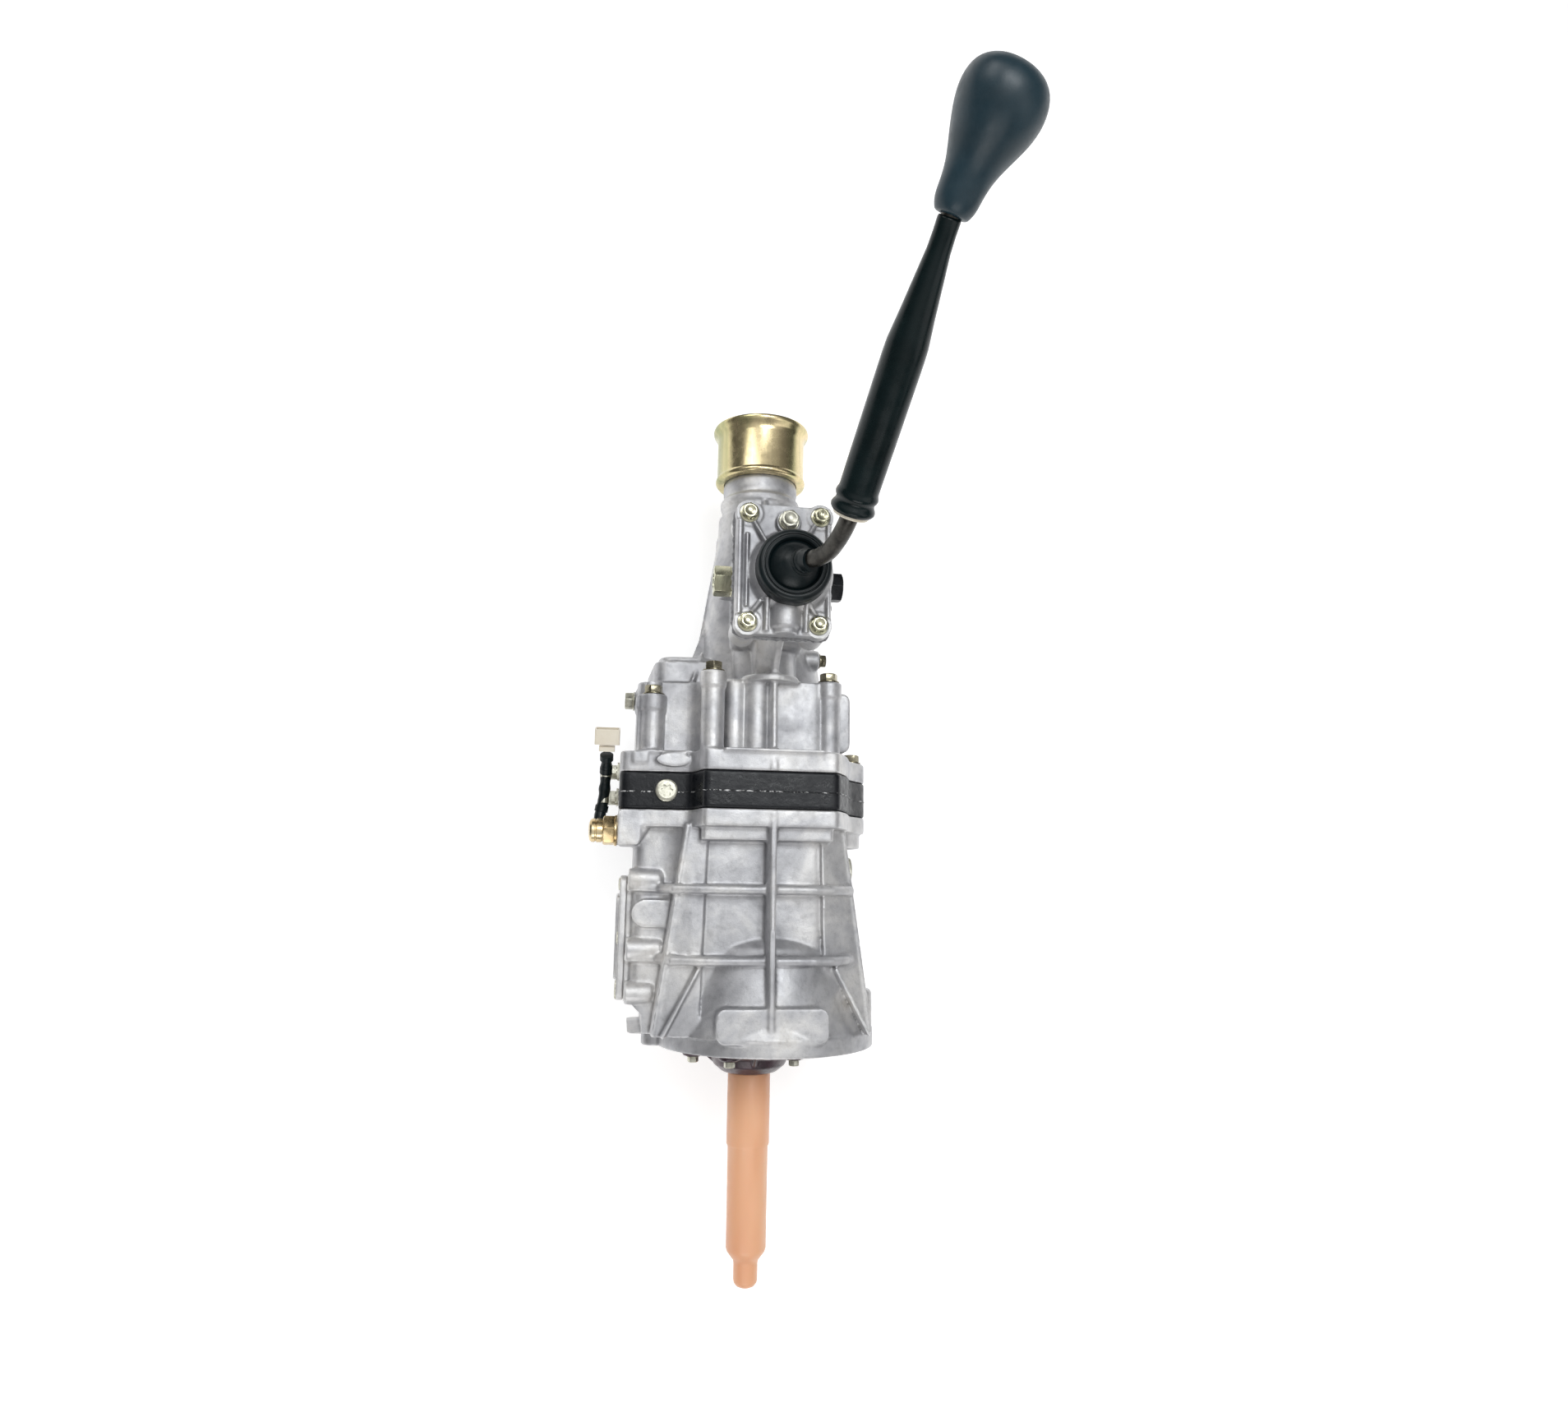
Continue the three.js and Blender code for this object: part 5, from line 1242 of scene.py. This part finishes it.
knob_axis = Vector((0.28, 0.79, 0.544)).normalized()
KNOB = [(0, 0), (9.6, 0), (10.8, 0.8), (11.6, 2), (13, 5), (13.9, 9), (14.2, 14), (15.2, 22), (17.4, 29.5),
    (21, 38), (24.6, 46), (27.2, 53), (28.7, 60),
        (29.0, 66), (28.2, 72), (26, 77.4), (22.4, 81.6), (17.6, 84.6), (12, 86.6), (6, 87.4), (0, 87.6)]
across = knob_axis.cross(Vector((0, 0, 1))).normalized()  # towards +X
points, faces = swung(lathe("Z", (0, 0, 0), KNOB, 96), "Z", (0, 0, 1), knob_axis, (0, 0, 0))
shaped = []
for p in points:
    p = Vector(p)
    along, side = p.dot(knob_axis), p.dot(across)
    blend = max(0, min(1, (along - 12) / 40))
    p -= across * side * (0.10 * blend if side < 0 else 0.0)
    p += across * (1.0 * blend * math.sin(math.pi * min(1, along / 87)))
    shaped.append(tuple(p + ROD_END))
knob = put("gear_knob_fine", (shaped, faces))
face = knob.modifiers.new("face", "SUBSURF")
face.levels = 1
bake(knob)
finish_piece(knob, "lever", M["knob"], "gear_knob", 60)
top = knob_axis.cross(across)


def on_knob(u, v):
    """A point on the knob's domed end: u to +X, v away from the driver's side."""
    reach = math.hypot(u, v)
    for (r0, h0), (r1, h1) in zip(KNOB[:0:-1], KNOB[-2::-1]):
        if r0 <= reach <= r1:
            height = h0 + (h1 - h0) * (reach - r0) / (r1 - r0)
            break
    else:
        height = 80
    return tuple(ROD_END + knob_axis * (height - 0.1) + across * (u + 1.0 * math.sin(math.pi * min(1,
        height / 87))) + top * v)


marks = [tube([on_knob(x, -7 + k) for k in range(0, 15, 2)], 0.32, 8) for x in (-7, 0, 7)]
marks.append(tube([on_knob(-7 + k, 0) for k in range(0, 15, 2)], 0.32, 8))
finish_piece(put("knob_pattern", *marks), "lever", M["pale_zinc"])

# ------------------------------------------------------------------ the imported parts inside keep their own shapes
for name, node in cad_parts.items():
    material = M["gear"]
    if "bearing" in name or "rail" in name or name in ("idler_shaft", "input_shaft", "output_shaft"):
        material = M["bright"]
    elif "fork" in name:
        material = M["bronze"]
    elif name == "lever_ball_seat":
        material = M["cream"]
    node.data.materials.clear()
    node.data.materials.append(material)

# ------------------------------------------------------------------ floor and light
floor = put("floor", block(-9000, -9000, -SHAFT_Z - 20, 9000, 9000, -SHAFT_Z - 0.2))
backing = Paint("floor", Roughness=0.9)
backing.shader.inputs["Base Color"].default_value = (0.93, 0.93, 0.93, 1)
backing.shader.inputs["Specular IOR Level"].default_value = 0.1
backing.shader.inputs["Emission Color"].default_value = (1, 1, 1, 1)
backing.shader.inputs["Emission Strength"].default_value = 0.45
floor.data.materials.append(backing.material)


def area(name, place, aim, size, power, colour=(1, 1, 1)):
    data = bpy.data.lights.new(name, "AREA")
    data.shape, data.size, data.size_y = "RECTANGLE", size[0], size[1]
    data.energy, data.color = power, colour
    light = bpy.data.objects.new(name, data)
    bpy.context.scene.collection.objects.link(light)
    light.location = place
    light.rotation_euler = (Vector(aim) - Vector(place)).to_track_quat("-Z", "Y").to_euler()


area("tail", (-0.9, 1.5, 1.7), (0, 0.1, 0.1), (1.2, 1.0), 10)
area("key", (0.22, 0.5, 1.75), (0.0, -0.12, 0.2), (0.8, 0.6), 9, (0.95, 0.98, 1.0))
area("fill", (1.5, -0.5, 1.5), (0, 0, 0.1), (1.0, 1.6), 4)
area("front", (-0.2, -1.7, 1.2), (0, -0.1, 0.1), (1.6, 0.8), 10)

world = bpy.data.worlds.new("world")
world.use_nodes = True
sky = world.node_tree.nodes["Background"]
grade = world.node_tree.nodes.new("ShaderNodeValToRGB")
split = world.node_tree.nodes.new("ShaderNodeSeparateXYZ")
toward = world.node_tree.nodes.new("ShaderNodeTexCoord")
world.node_tree.links.new(toward.outputs["Generated"], split.inputs[0])
world.node_tree.links.new(split.outputs["Z"], grade.inputs["Fac"])
world.node_tree.links.new(grade.outputs["Color"], sky.inputs["Color"])
for stop, (position, grey) in zip(
    [*grade.color_ramp.elements, grade.color_ramp.elements.new(0.5)], [(0.0, 0.10), (1.0, 1.0), (0.6, 0.25)]
):
    stop.position, stop.color = position, (grey, grey, grey, 1)
sky.inputs["Strength"].default_value = 0.75
scene = bpy.context.scene
scene.world = world
scene.view_settings.view_transform = "Standard"
scene.view_settings.look = "None"
scene.view_settings.exposure = 0.0
